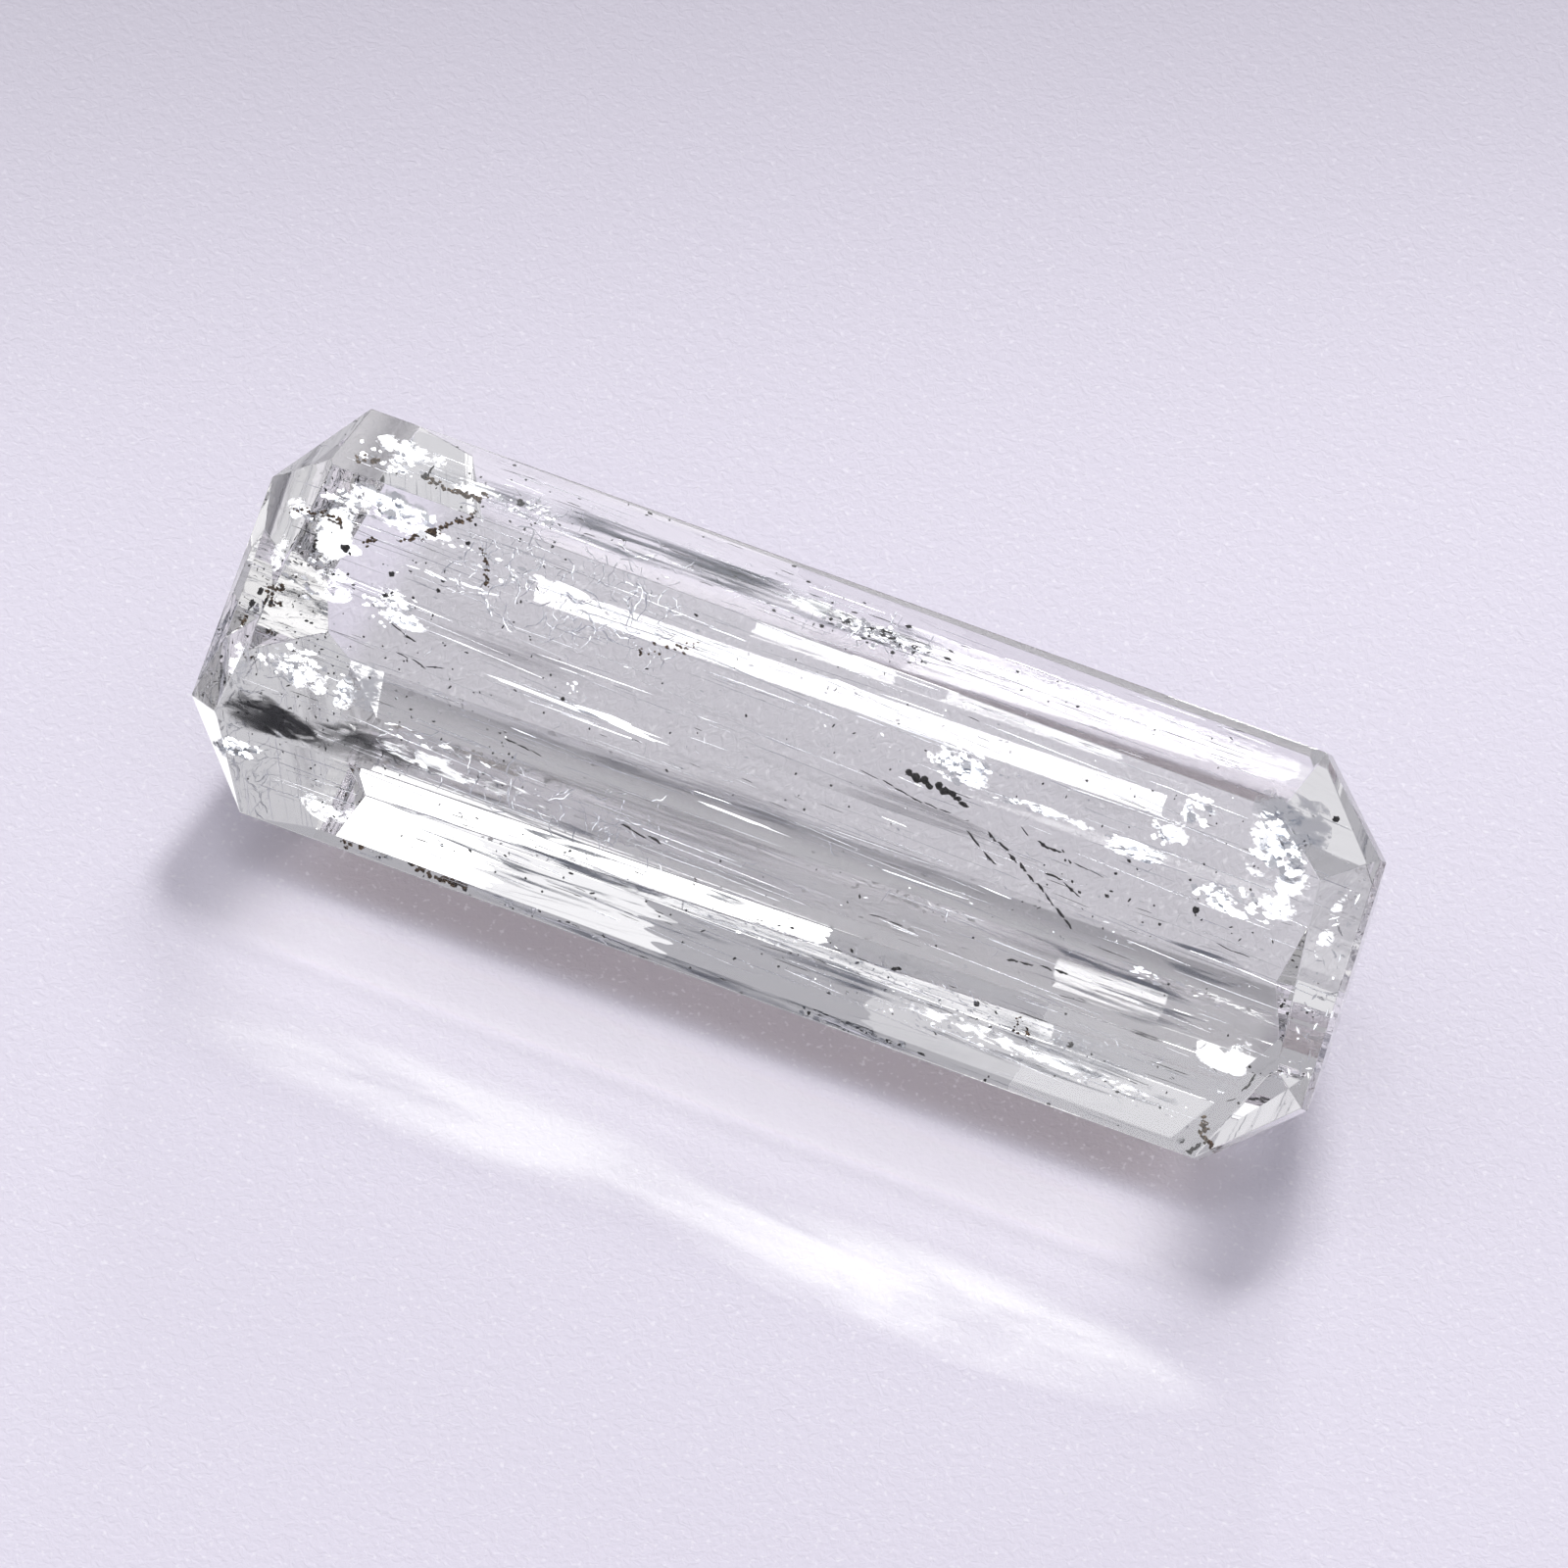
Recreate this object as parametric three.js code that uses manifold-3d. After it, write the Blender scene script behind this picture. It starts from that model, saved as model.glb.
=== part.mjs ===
// Faceted scolecite: one long octagonal step-cut gemstone, lying on one of its pavilion facets.
//
// The stone is cut the way a lapidary cuts it. A rough block is ground flat again and again, and
// each flat is one facet, given by the side it faces, its angle and its distance from the middle.
// The stone is cut with its table up, and then tipped over onto the facet that it lies on.
//
// Units are millimetres and +Z is up. +X runs along the stone. The origin is on the surface that
// the stone lies on, under the middle of its box.

import * as THREE from 'three';
import { mergeVertices } from 'three/addons/utils/BufferGeometryUtils.js';
import Module from 'manifold-3d';

// ---------------------------------------------------------------- driving dimensions

const LENGTH = 20.0; // girdle outline, end to end
const WIDTH = 6.92; // girdle outline, side to side
const GIRDLE_THICKNESS = 0.42; // the upright band around the widest outline
const TABLE_HEIGHT = 0.52; // from the girdle's upper edge to the table, on the stone's axis
const TABLE_FALL_NEAR = 0.07; // how far the table drops for each millimetre towards the near side
const TABLE_FALL_LEFT = 0.003; // how far the table drops for each millimetre towards the left end
const RESTING_ANGLE = 37.4; // degrees from the girdle plane, of the facet that the stone lies on

const HALF_LENGTH = LENGTH / 2;
const HALF_WIDTH = WIDTH / 2;

// One entry for each of the eight sides. The stone is cut by hand, so no two of its sides are quite
// square or equal.
//   direction: degrees from +X towards +Y that the side faces, seen from above the table
//   reach: distance from the stone's axis to the girdle
//   crown: degrees from the girdle plane, of the facet between the girdle and the table
//   pavilion: the facets below the girdle, from the upper one down. Each has its angle in degrees
//     from the girdle plane, the depth below the girdle where it starts, and its own turn in
//     degrees away from the side's direction
const SIDES = {
  farSide: {
    direction: 89.7,
    reach: HALF_WIDTH + 0.02,
    crown: 31,
    pavilion: [
      { angle: 76.5, depth: 0, turn: 0 },
      { angle: 61, depth: 1.25, turn: 0 },
      { angle: 33.5, depth: 1.5, turn: 1.5 },
    ],
  },
  farRightCorner: { direction: 47.4, reach: 8.21, crown: 35, pavilion: [{ angle: 64.5, depth: 0, turn: 0 }] },
  rightEnd: {
    direction: 2.5,
    reach: HALF_LENGTH - 0.07,
    crown: 43,
    pavilion: [
      { angle: 77.5, depth: 0, turn: 0 },
      { angle: 59, depth: 1.4, turn: 3 },
    ],
  },
  nearRightCorner: {
    direction: -46.4,
    reach: 8.44,
    crown: 34,
    pavilion: [{ angle: 61.5, depth: 0, turn: 0 }],
  },
  nearSide: {
    direction: -90,
    reach: HALF_WIDTH - 0.01,
    crown: 14.5,
    pavilion: [
      { angle: 76, depth: 0, turn: 0 },
      { angle: RESTING_ANGLE, depth: 1.5, turn: 0 },
    ],
  },
  nearLeftCorner: { direction: -136, reach: 8.58, crown: 46, pavilion: [{ angle: 58, depth: 0, turn: 0 }] },
  leftEnd: {
    direction: 179.8,
    reach: HALF_LENGTH + 0.08,
    crown: 30.5,
    pavilion: [
      { angle: 80, depth: 0, turn: 0 },
      { angle: 66, depth: 1.5, turn: -1 },
    ],
  },
  farLeftCorner: { direction: 143.1, reach: 9.21, crown: 51.5, pavilion: [{ angle: 64, depth: 0, turn: 0 }] },
};

const UP = new THREE.Vector3(0, 0, 1);
const ROUGH_SIZE = 2 * LENGTH; // edge of the rough block, well outside every facet
const WELD_DISTANCE = 1e-4; // vertices nearer than this are one vertex

// ---------------------------------------------------------------- solids

const wasm = await Module();
wasm.setup();

/** Turns a closed three.js geometry into a solid that can be cut. */
function toSolid(geometry) {
  const bare = geometry.clone();
  bare.deleteAttribute('normal');
  bare.deleteAttribute('uv');
  const welded = mergeVertices(bare, WELD_DISTANCE);
  return new wasm.Manifold(
    new wasm.Mesh({
      numProp: 3,
      vertProperties: new Float32Array(welded.attributes.position.array),
      triVerts: new Uint32Array(welded.index.array),
    }),
  );
}

/** Turns a solid back into a geometry with flat, sharp-edged faces. */
function toGeometry(solid) {
  const { vertProperties, triVerts } = solid.getMesh();
  const shared = new THREE.BufferGeometry();
  shared.setAttribute('position', new THREE.BufferAttribute(vertProperties, 3));
  shared.setIndex(new THREE.BufferAttribute(triVerts, 1));
  const faceted = shared.toNonIndexed();
  faceted.computeVertexNormals();
  return faceted;
}

// ---------------------------------------------------------------- cutting

/** A level unit vector that points in a direction given in degrees from +X towards +Y. */
function levelVector(degrees) {
  const angle = THREE.MathUtils.degToRad(degrees);
  return new THREE.Vector3(Math.cos(angle), Math.sin(angle), 0);
}

/** The outward normal of a facet that faces outwards and up (crown) or down (pavilion). */
function facetNormal(direction, angle, upOrDown) {
  const tilt = THREE.MathUtils.degToRad(angle);
  return levelVector(direction)
    .multiplyScalar(Math.sin(tilt))
    .addScaledVector(UP, upOrDown * Math.cos(tilt));
}

/** Grinds one flat facet: everything beyond the plane through point is cut away. */
function grind(stone, normal, point) {
  const waste = new THREE.BoxGeometry(ROUGH_SIZE, ROUGH_SIZE, ROUGH_SIZE);
  waste.translate(0, 0, ROUGH_SIZE / 2);
  waste.applyQuaternion(new THREE.Quaternion().setFromUnitVectors(UP, normal));
  waste.translate(point.x, point.y, point.z);
  return stone.subtract(toSolid(waste));
}

/** Cuts the girdle, crown and pavilion facets of one side, from the widest outline inwards. */
function grindSide(stone, { direction, reach, crown, pavilion }) {
  const outward = levelVector(direction);
  const girdleEdge = outward.clone().multiplyScalar(reach);
  let cut = grind(stone, outward, girdleEdge);
  cut = grind(cut, facetNormal(direction, crown, 1), girdleEdge);

  let radius = reach;
  let depth = 0;
  let steepness = 90;
  for (const facet of pavilion) {
    radius -= (facet.depth - depth) / Math.tan(THREE.MathUtils.degToRad(steepness));
    depth = facet.depth;
    steepness = facet.angle;
    const start = outward.clone().multiplyScalar(radius);
    start.z = -GIRDLE_THICKNESS - depth;
    cut = grind(cut, facetNormal(direction + facet.turn, facet.angle, -1), start);
  }
  return cut;
}

/** Cuts the whole stone, with its table up and its girdle's upper edge at z = 0. */
function cutStone() {
  let stone = toSolid(new THREE.BoxGeometry(ROUGH_SIZE, ROUGH_SIZE, ROUGH_SIZE));
  const tableNormal = new THREE.Vector3(-TABLE_FALL_LEFT, -TABLE_FALL_NEAR, 1).normalize();
  stone = grind(stone, tableNormal, new THREE.Vector3(0, 0, TABLE_HEIGHT));
  for (const side of Object.values(SIDES)) {
    stone = grindSide(stone, side);
  }
  return stone;
}

// ---------------------------------------------------------------- the part

/** Tips the stone onto its resting facet, and sets it down with the origin under its middle. */
function layDown(geometry) {
  geometry.rotateX(THREE.MathUtils.degToRad(RESTING_ANGLE));
  geometry.computeBoundingBox();
  const { min, max } = geometry.boundingBox;
  geometry.translate(-(min.x + max.x) / 2, -(min.y + max.y) / 2, -min.z);
  return geometry;
}

const crystal = new THREE.MeshStandardMaterial({
  color: 0xeeedf2,
  roughness: 0.05,
  metalness: 0,
  transparent: true,
  opacity: 0.35,
});

const stone = new THREE.Mesh(layDown(toGeometry(cutStone())), crystal);
stone.name = 'cut_stone';

const part = new THREE.Group();
part.add(stone);

export default part;
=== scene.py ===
"""Faceted scolecite: a clear, long octagonal step-cut gemstone lying on a pale surface.

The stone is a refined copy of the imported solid, with worn edges and a polished, see-through
finish. What is sealed in the crystal is modelled as meshes inside it: dark and rusty mineral
grains, dark needles, silvery and crackled films of gas, growth tubes, squiggles of healed cracks,
and milky, grey and smoky veils.

Units are metres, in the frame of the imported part: +X runs along the stone, +Z is up, and the tilted
table faces towards -Y. Places inside the stone are given in millimetres from the middle of the
table: along the stone, across it towards the far side, and down below the table.
"""

import logging
import math
import random
from dataclasses import dataclass, field
from enum import Enum

import bpy
from mathutils import Matrix, Vector


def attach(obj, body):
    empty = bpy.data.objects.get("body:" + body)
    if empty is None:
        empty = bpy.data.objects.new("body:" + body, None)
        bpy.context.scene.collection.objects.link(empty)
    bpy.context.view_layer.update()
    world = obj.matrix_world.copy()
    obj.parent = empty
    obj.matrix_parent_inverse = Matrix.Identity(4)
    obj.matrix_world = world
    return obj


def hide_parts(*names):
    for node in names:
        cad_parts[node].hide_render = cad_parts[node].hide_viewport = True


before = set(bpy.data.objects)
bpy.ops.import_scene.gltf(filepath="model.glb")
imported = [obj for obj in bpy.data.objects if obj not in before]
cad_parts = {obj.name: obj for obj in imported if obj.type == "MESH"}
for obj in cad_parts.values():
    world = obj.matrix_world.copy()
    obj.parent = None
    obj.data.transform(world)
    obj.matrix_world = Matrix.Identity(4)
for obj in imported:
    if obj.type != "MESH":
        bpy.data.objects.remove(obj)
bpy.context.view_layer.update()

log = logging.getLogger("scolecite")

MM = 0.001  # metres in a millimetre
STONE_NODE = "cut_stone"
BODY = "root"

Span = tuple[float, float]
Triple = tuple[float, float, float]
Colour = tuple[float, float, float, float]

WHITE: Colour = (1.0, 1.0, 1.0, 1.0)
BLACK: Colour = (0.0, 0.0, 0.0, 1.0)
UNTURNED: Triple = (0.0, 0.0, 0.0)
TABLE_TURN: Triple = (math.radians(41.4), 0.0, 0.0)  # from level to the table's tilt


# ---------------------------------------------------------------- shaders


@dataclass(frozen=True)
class Pattern:
    """A noise pattern: how many cells a metre holds along each axis, and how they look.

    detail is how many finer octaves are added, swirl how much the pattern is distorted, and turn its
    rotation in radians.
    """

    cells: Triple
    detail: float = 1.0
    swirl: float = 0.0
    turn: Triple = UNTURNED


@dataclass(frozen=True)
class Relief:
    """The dents of a surface: their strength, and their depth in metres."""

    strength: float
    depth: float


class Value:
    """A number socket of a shader, with the arithmetic that adds Math nodes to its tree."""

    def __init__(self, tree: bpy.types.NodeTree, socket: bpy.types.NodeSocket) -> None:
        """Wraps a socket.

        Args:
            tree: the node tree that the socket is in.
            socket: the output socket to wrap.
        """
        self.tree = tree
        self.socket = socket

    def math(self, operation: str, *others: "Value | float", swap: bool = False) -> "Value":
        """Adds one Math node.

        Args:
            operation: the Math node's operation.
            *others: the further operands.
            swap: whether this value is the second operand.

        Returns:
            The node's result.
        """
        node = self.tree.nodes.new("ShaderNodeMath")
        node.operation = operation
        operands = [*others, self] if swap else [self, *others]
        for socket, operand in zip(node.inputs, operands):
            if isinstance(operand, Value):
                self.tree.links.new(operand.socket, socket)
            else:
                socket.default_value = operand
        return Value(self.tree, node.outputs[0])

    def __add__(self, other: "Value | float") -> "Value":
        """Adds."""
        return self.math("ADD", other)

    def __sub__(self, other: "Value | float") -> "Value":
        """Subtracts."""
        return self.math("SUBTRACT", other)

    def __rsub__(self, other: float) -> "Value":
        """Subtracts this value from a number."""
        return self.math("SUBTRACT", other, swap=True)

    def __mul__(self, other: "Value | float") -> "Value":
        """Multiplies."""
        return self.math("MULTIPLY", other)

    def ramp(self, low: float, high: float) -> "Value":
        """Maps a range to 0..1, with soft ends that are held beyond it.

        Args:
            low: the value that becomes 0.
            high: the value that becomes 1.

        Returns:
            The mapped value.
        """
        node = self.tree.nodes.new("ShaderNodeMapRange")
        node.interpolation_type = "SMOOTHSTEP"
        node.inputs["From Min"].default_value = low
        node.inputs["From Max"].default_value = high
        self.tree.links.new(self.socket, node.inputs["Value"])
        return Value(self.tree, node.outputs[0])

    __radd__ = __add__
    __rmul__ = __mul__


Paint = Colour | bpy.types.NodeSocket


class Shader:
    """A material under construction: one place that makes its nodes."""

    MIX_COLOURS = (6, 7)  # a Mix node's inputs for two colours
    MIX_RESULT = 2  # and its output for the mixed colour

    def __init__(self, name: str) -> None:
        """Makes an empty material.

        Args:
            name: the material's name.
        """
        self.material = bpy.data.materials.new(name)
        self.material.use_nodes = True
        self.tree = self.material.node_tree
        self.tree.nodes.clear()
        self.output = self.tree.nodes.new("ShaderNodeOutputMaterial")

    def node(self, kind: str, settings: dict | None = None, inputs: dict | None = None) -> bpy.types.Node:
        """Adds a node.

        Args:
            kind: the node's type.
            settings: properties to set first.
            inputs: input sockets by name or index, each a plain value, a Value or a socket.

        Returns:
            The new node.
        """
        made = self.tree.nodes.new(kind)
        for key, value in (settings or {}).items():
            setattr(made, key, value)
        for key, value in (inputs or {}).items():
            socket = made.inputs[key]
            if isinstance(value, Value):
                self.tree.links.new(value.socket, socket)
            elif isinstance(value, bpy.types.NodeSocket):
                self.tree.links.new(value, socket)
            else:
                socket.default_value = value
        return made

    def value(self, node: bpy.types.Node, output: str | int = 0) -> Value:
        """Wraps a node's output for arithmetic."""
        return Value(self.tree, node.outputs[output])

    def place(self, scale: Triple, turn: Triple) -> bpy.types.NodeSocket:
        """Object coordinates, stretched and turned.

        Args:
            scale: how many pattern units a metre holds, along each axis.
            turn: rotation in radians.

        Returns:
            The vector socket.
        """
        where = self.node("ShaderNodeTexCoord")
        mapped = self.node(
            "ShaderNodeMapping",
            {"vector_type": "TEXTURE"},
            {
                "Vector": where.outputs["Object"],
                "Rotation": turn,
                "Scale": tuple(1 / part for part in scale),
            },
        )
        return mapped.outputs[0]

    def noise(self, pattern: Pattern) -> Value:
        """Adds a noise pattern.

        Args:
            pattern: what the noise looks like.

        Returns:
            The noise, from 0 to 1.
        """
        made = self.node(
            "ShaderNodeTexNoise",
            {"noise_dimensions": "3D"},
            {
                "Vector": self.place(pattern.cells, pattern.turn),
                "Scale": 1.0,
                "Detail": pattern.detail,
                "Distortion": pattern.swirl,
            },
        )
        return self.value(made)

    def fade(self) -> Value:
        """Fades a plate out towards its rim.

        The plate's UV map has its two faces side by side: each takes half of U and half of V.

        Returns:
            1 at the plate's middle, falling to 0 at its rim.
        """
        where = self.node("ShaderNodeTexCoord")
        parts = self.node("ShaderNodeSeparateXYZ", {}, {0: where.outputs["UV"]})
        a = (self.value(parts, "X") * 2.0).math("FRACT") * 2.0 - 1.0
        b = self.value(parts, "Y") * 4.0 - 1.0
        return 1.0 - (a * a + b * b)

    def bump(self, relief: Relief, height: Value) -> bpy.types.NodeSocket:
        """Dents the surface.

        Args:
            relief: how deep the dents are.
            height: the pattern of the dents.

        Returns:
            The socket of the dented normal.
        """
        inputs = {"Strength": relief.strength, "Distance": relief.depth, "Height": height}
        return self.node("ShaderNodeBump", {}, inputs).outputs[0]

    def surface(self, inputs: dict) -> bpy.types.Node:
        """Adds the surface shader, with its input sockets by name."""
        return self.node("ShaderNodeBsdfPrincipled", {}, inputs)

    def blend(self, factor: Value, low: Paint, high: Paint) -> bpy.types.NodeSocket:
        """Mixes two colours.

        Args:
            factor: 0 for low, 1 for high.
            low: the colour at 0.
            high: the colour at 1.

        Returns:
            The colour socket.
        """
        colours = dict(zip(self.MIX_COLOURS, (low, high)))
        made = self.node("ShaderNodeMix", {"data_type": "RGBA"}, {0: factor, **colours})
        return made.outputs[self.MIX_RESULT]

    def finish(self, surface: bpy.types.Node, volume: bpy.types.Node | None = None) -> bpy.types.Material:
        """Links the shaders to the output.

        Args:
            surface: the surface shader.
            volume: the volume shader, if there is one.

        Returns:
            The finished material.
        """
        self.tree.links.new(surface.outputs[0], self.output.inputs["Surface"])
        if volume is not None:
            self.tree.links.new(volume.outputs[0], self.output.inputs["Volume"])
        return self.material


@dataclass(frozen=True)
class CrystalFinish:
    """Polished, colourless crystal, left faintly uneven by the polishing wheel."""

    index: float = 1.515
    tint: Colour = (0.68, 0.66, 0.56, 1.0)
    absorption_per_metre: float = 12.0
    roughness: float = 0.0
    lines: Pattern = Pattern((90, 3200, 3200), turn=TABLE_TURN)
    hollows: Pattern = Pattern((1200, 1500, 1500))
    hollow_share: float = 0.6
    relief: Relief = Relief(0.012, 0.02 * MM)

    def material(self) -> bpy.types.Material:
        """Builds the material.

        Returns:
            The finished material.
        """
        s = Shader("crystal")
        height = s.noise(self.lines) + s.noise(self.hollows) * self.hollow_share
        surface = s.surface(
            {
                "Base Color": WHITE,
                "Roughness": self.roughness,
                "IOR": self.index,
                "Transmission Weight": 1.0,
                "Normal": s.bump(self.relief, height),
            }
        )
        volume = s.node(
            "ShaderNodeVolumeAbsorption", {}, {"Color": self.tint, "Density": self.absorption_per_metre}
        )
        return s.finish(surface, volume)


@dataclass(frozen=True)
class GrainFinish:
    """Opaque mineral matter, mottled between two colours."""

    name: str
    low: Colour
    high: Colour
    roughness: float
    mottle: Pattern = Pattern((26000, 26000, 26000), 3.0)
    mottle_span: Span = (0.35, 0.7)
    relief: Relief = Relief(0.4, 0.01 * MM)

    def material(self) -> bpy.types.Material:
        """Builds the material.

        Returns:
            The finished material.
        """
        s = Shader(self.name)
        mottle = s.noise(self.mottle).ramp(*self.mottle_span)
        return s.finish(
            s.surface(
                {
                    "Base Color": s.blend(mottle, self.low, self.high),
                    "Roughness": self.roughness,
                    "Normal": s.bump(self.relief, mottle),
                }
            )
        )


@dataclass(frozen=True)
class FilmFinish:
    """A mirror-like film of gas in a healed crack."""

    name: str = "gas_film"
    low: Colour = (0.80, 0.83, 0.86, 1.0)
    high: Colour = (0.97, 0.97, 0.98, 1.0)
    roughness: float = 0.08
    ripple: Pattern = Pattern((1500, 9000, 9000), 2.0, turn=TABLE_TURN)
    relief: Relief = Relief(0.10, 0.004 * MM)

    def material(self) -> bpy.types.Material:
        """Builds the material.

        Returns:
            The finished material.
        """
        s = Shader(self.name)
        ripple = s.noise(self.ripple)
        return s.finish(
            s.surface(
                {
                    "Base Color": s.blend(ripple, self.low, self.high),
                    "Metallic": 1.0,
                    "Roughness": self.roughness,
                    "Normal": s.bump(self.relief, ripple),
                }
            )
        )


@dataclass(frozen=True)
class FrostFinish:
    """A crackled film of gas in a healed crack: bright fragments with clear crystal between them.

    The film is clear below the density sparse and full from the density solid on. It shows from
    above only, and fades where its face turns upright.
    """

    name: str = "crackled_film"
    low: Colour = (0.84, 0.86, 0.90, 1.0)
    high: Colour = (0.99, 0.99, 0.99, 1.0)
    crackle: Pattern = Pattern((8200, 12500, 12500), 3.0, 1.1, TABLE_TURN)
    clouds: Pattern = Pattern((1900, 3000, 3000), 1.0, 0.8, TABLE_TURN)
    dents: Pattern = Pattern((2600, 5200, 5200), turn=TABLE_TURN)
    crackle_share: float = 0.55
    cloud_share: float = 0.85
    fill: float = 0.22
    thinning: float = 0.2
    sparse: float = 0.54
    solid: float = 0.80
    peak: float = 0.92
    upright: float = 0.1
    roughness: float = 0.16
    relief: Relief = Relief(0.35, 0.01 * MM)

    def material(self) -> bpy.types.Material:
        """Builds the material.

        Returns:
            The finished material.
        """
        s = Shader(self.name)
        crackle = s.noise(self.crackle)
        density = crackle * self.crackle_share + s.noise(self.clouds) * self.cloud_share
        density = density + s.fade() * self.fill - self.thinning
        facing = s.node("ShaderNodeSeparateXYZ", {}, {0: s.node("ShaderNodeNewGeometry").outputs["Normal"]})
        from_above = s.value(facing, "Z").ramp(0.0, self.upright)
        return s.finish(
            s.surface(
                {
                    "Base Color": s.blend(crackle, self.low, self.high),
                    "Metallic": 1.0,
                    "Roughness": self.roughness,
                    "Alpha": density.ramp(self.sparse, self.solid) * self.peak * from_above,
                    "Normal": s.bump(self.relief, s.noise(self.dents)),
                }
            )
        )


@dataclass(frozen=True)
class VeilFinish:
    """A thin veil that shows only where its streaks are dense, and thins out towards its rim."""

    name: str
    colour: Colour
    pale: Colour
    peak: float
    clear_below: float
    dense_above: float
    streaks: Pattern
    clouds: Pattern = Pattern((420, 1100, 1100), turn=TABLE_TURN)
    cloud_span: Span = (0.3, 0.7)
    rim: float = 0.45
    roughness: float = 0.6

    def material(self) -> bpy.types.Material:
        """Builds the material.

        Returns:
            The finished material.
        """
        s = Shader(self.name)
        streak = s.noise(self.streaks)
        cloud = s.noise(self.clouds).ramp(*self.cloud_span)
        rim = s.fade().ramp(0.0, self.rim)
        cover = streak.ramp(self.clear_below, self.dense_above) * cloud * rim * self.peak
        return s.finish(
            s.surface(
                {
                    "Base Color": s.blend(streak, self.colour, self.pale),
                    "Roughness": self.roughness,
                    "Alpha": cover,
                }
            )
        )


@dataclass(frozen=True)
class Oval:
    """An oval of the floor with a soft edge: its middle and half sizes along X and Y in millimetres.

    full is how far in from the rim, as a share of the whole, the oval reaches its full strength.
    """

    middle: Span
    half: Span
    full: float = 1.0

    def cover(self, x: Value, y: Value) -> Value:
        """Covers the oval.

        Args:
            x: the place along X in metres.
            y: the place along Y in metres.

        Returns:
            1 well inside the oval, and 0 at its rim and outside.
        """
        a = (x - self.middle[0] * MM) * (1.0 / (self.half[0] * MM))
        b = (y - self.middle[1] * MM) * (1.0 / (self.half[1] * MM))
        return (1.0 - (a * a + b * b)).ramp(0.0, self.full)


ENDLESS = 1000.0  # half size of an oval that is a band right across the floor


@dataclass(frozen=True)
class BedFinish:
    """The pale lavender surface: darker towards the back, with painted shade and painted, partly emitted
    light by the stone.
    """

    near: Colour = (0.715, 0.683, 0.768, 1.0)
    back: Colour = (0.494, 0.472, 0.533, 1.0)
    # painted light and shade around the stone: shade under it, its contact shadow, the light that it passes
    # on, and the glow
    shaded: Colour = (0.590, 0.576, 0.612, 1.0)
    contact_shadow: Colour = (0.500, 0.450, 0.485, 1.0)
    passed_light: Colour = (0.960, 0.915, 0.995, 1.0)
    glow: Colour = (0.95, 0.935, 0.96, 1.0)
    roughness: float = 0.5
    # strength of the painted glow that the surface emits
    emission: float = 0.14
    relief: Relief = Relief(0.45, 0.04 * MM)
    grain: Pattern = Pattern((7000, 7000, 7000), 2.0, 0.9)

    # the fall-off towards the back
    fade_start: float = 6.0 * MM
    fade_end: float = 27.0 * MM
    fade_azimuth: float = 25.6
    fade_skew: float = 0.04

    # under the stone: a painted glow of the light that it passes on, and painted shade under and behind it
    stone_length: Oval = Oval((0.0, 0.0), (8.9, ENDLESS), 0.15)
    under_glow_band: Oval = Oval((0.0, 0.1), (ENDLESS, 1.7), 0.6)
    shade_band: Oval = Oval((0.0, 1.6), (ENDLESS, 3.0), 0.5)

    # in front of the stone: its painted contact shadow, and the painted light that it passes on
    foot_length: Oval = Oval((0.2, 0.0), (9.6, ENDLESS), 0.5)
    contact_shadow_band: Oval = Oval((0.0, -2.42), (ENDLESS, 0.90))
    passed_light_core: Oval = Oval((0.0, -3.95), (ENDLESS, 0.9))
    core_share: float = 0.95
    passed_light_wide: Oval = Oval((0.0, -5.0), (ENDLESS, 1.5))
    wide_share: float = 0.35

    # the two painted beams of light that the stone focuses in front of it, broken up by drifts
    left_beam: Oval = Oval((-2.8, -6.4), (6.0, 1.0))
    left_share: float = 0.75
    right_beam: Oval = Oval((5.6, -6.7), (5.4, 1.15), 0.9)
    drifts: Pattern = Pattern((220, 900, 900), 3.0, 0.8)
    drift_span: Span = (0.32, 0.62)
    drift_share: float = 0.7
    beam_peak: float = 0.85

    # painted glints on the surface's grain, near the front
    sparkles: Pattern = Pattern((9000, 9000, 9000))
    sparkle_span: Span = (0.60, 0.74)
    sparkle_peak: float = 0.30

    # shares of the painted passed light and of the painted glow under the stone that the surface emits
    passed_light_emitted: float = 0.45
    under_glow_emitted: float = 0.6

    def material(self) -> bpy.types.Material:
        """Builds the material.

        Returns:
            The finished material.
        """
        s = Shader("bed")
        parts = s.node("ShaderNodeSeparateXYZ", {}, {0: s.node("ShaderNodeTexCoord").outputs["Object"]})
        x, y = s.value(parts, "X"), s.value(parts, "Y")
        fade = self.fade(x, y)
        stone = self.stone_length.cover(x, y)
        # painted glow under the stone, and painted shade under and behind it, both seen through the stone
        under = self.under_glow_band.cover(x, y) * stone
        shade = self.shade_band.cover(x, y) * stone
        foot = self.foot_length.cover(x, y)
        # painted contact shadow along the stone's near edge
        contact_shadow = self.contact_shadow_band.cover(x, y) * foot
        # painted light in front of the stone, where the light that it passes on falls
        passed_light = self.passed_light_core.cover(x, y) * self.core_share + self.passed_light_wide.cover(x, y) * self.wide_share
        passed_light = passed_light * foot
        drift = s.noise(self.drifts).ramp(*self.drift_span) * self.drift_share + (1.0 - self.drift_share)
        # painted beams of focused light
        beams = self.left_beam.cover(x, y) * self.left_share + self.right_beam.cover(x, y)
        beams = beams * drift * self.beam_peak
        # painted glints, near the front only
        sparkle = s.noise(self.sparkles).ramp(*self.sparkle_span) * (1.0 - fade) * self.sparkle_peak
        # painted light: the glow under the stone, the beams and the glints lighten the colour towards the
        # glow
        lit = (under + beams + sparkle).math("MINIMUM", 1.0)
        # part of the painted light is emitted, so the surface glows around the stone though it is no lamp
        emitted = beams + passed_light * self.passed_light_emitted + under * self.under_glow_emitted
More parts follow.
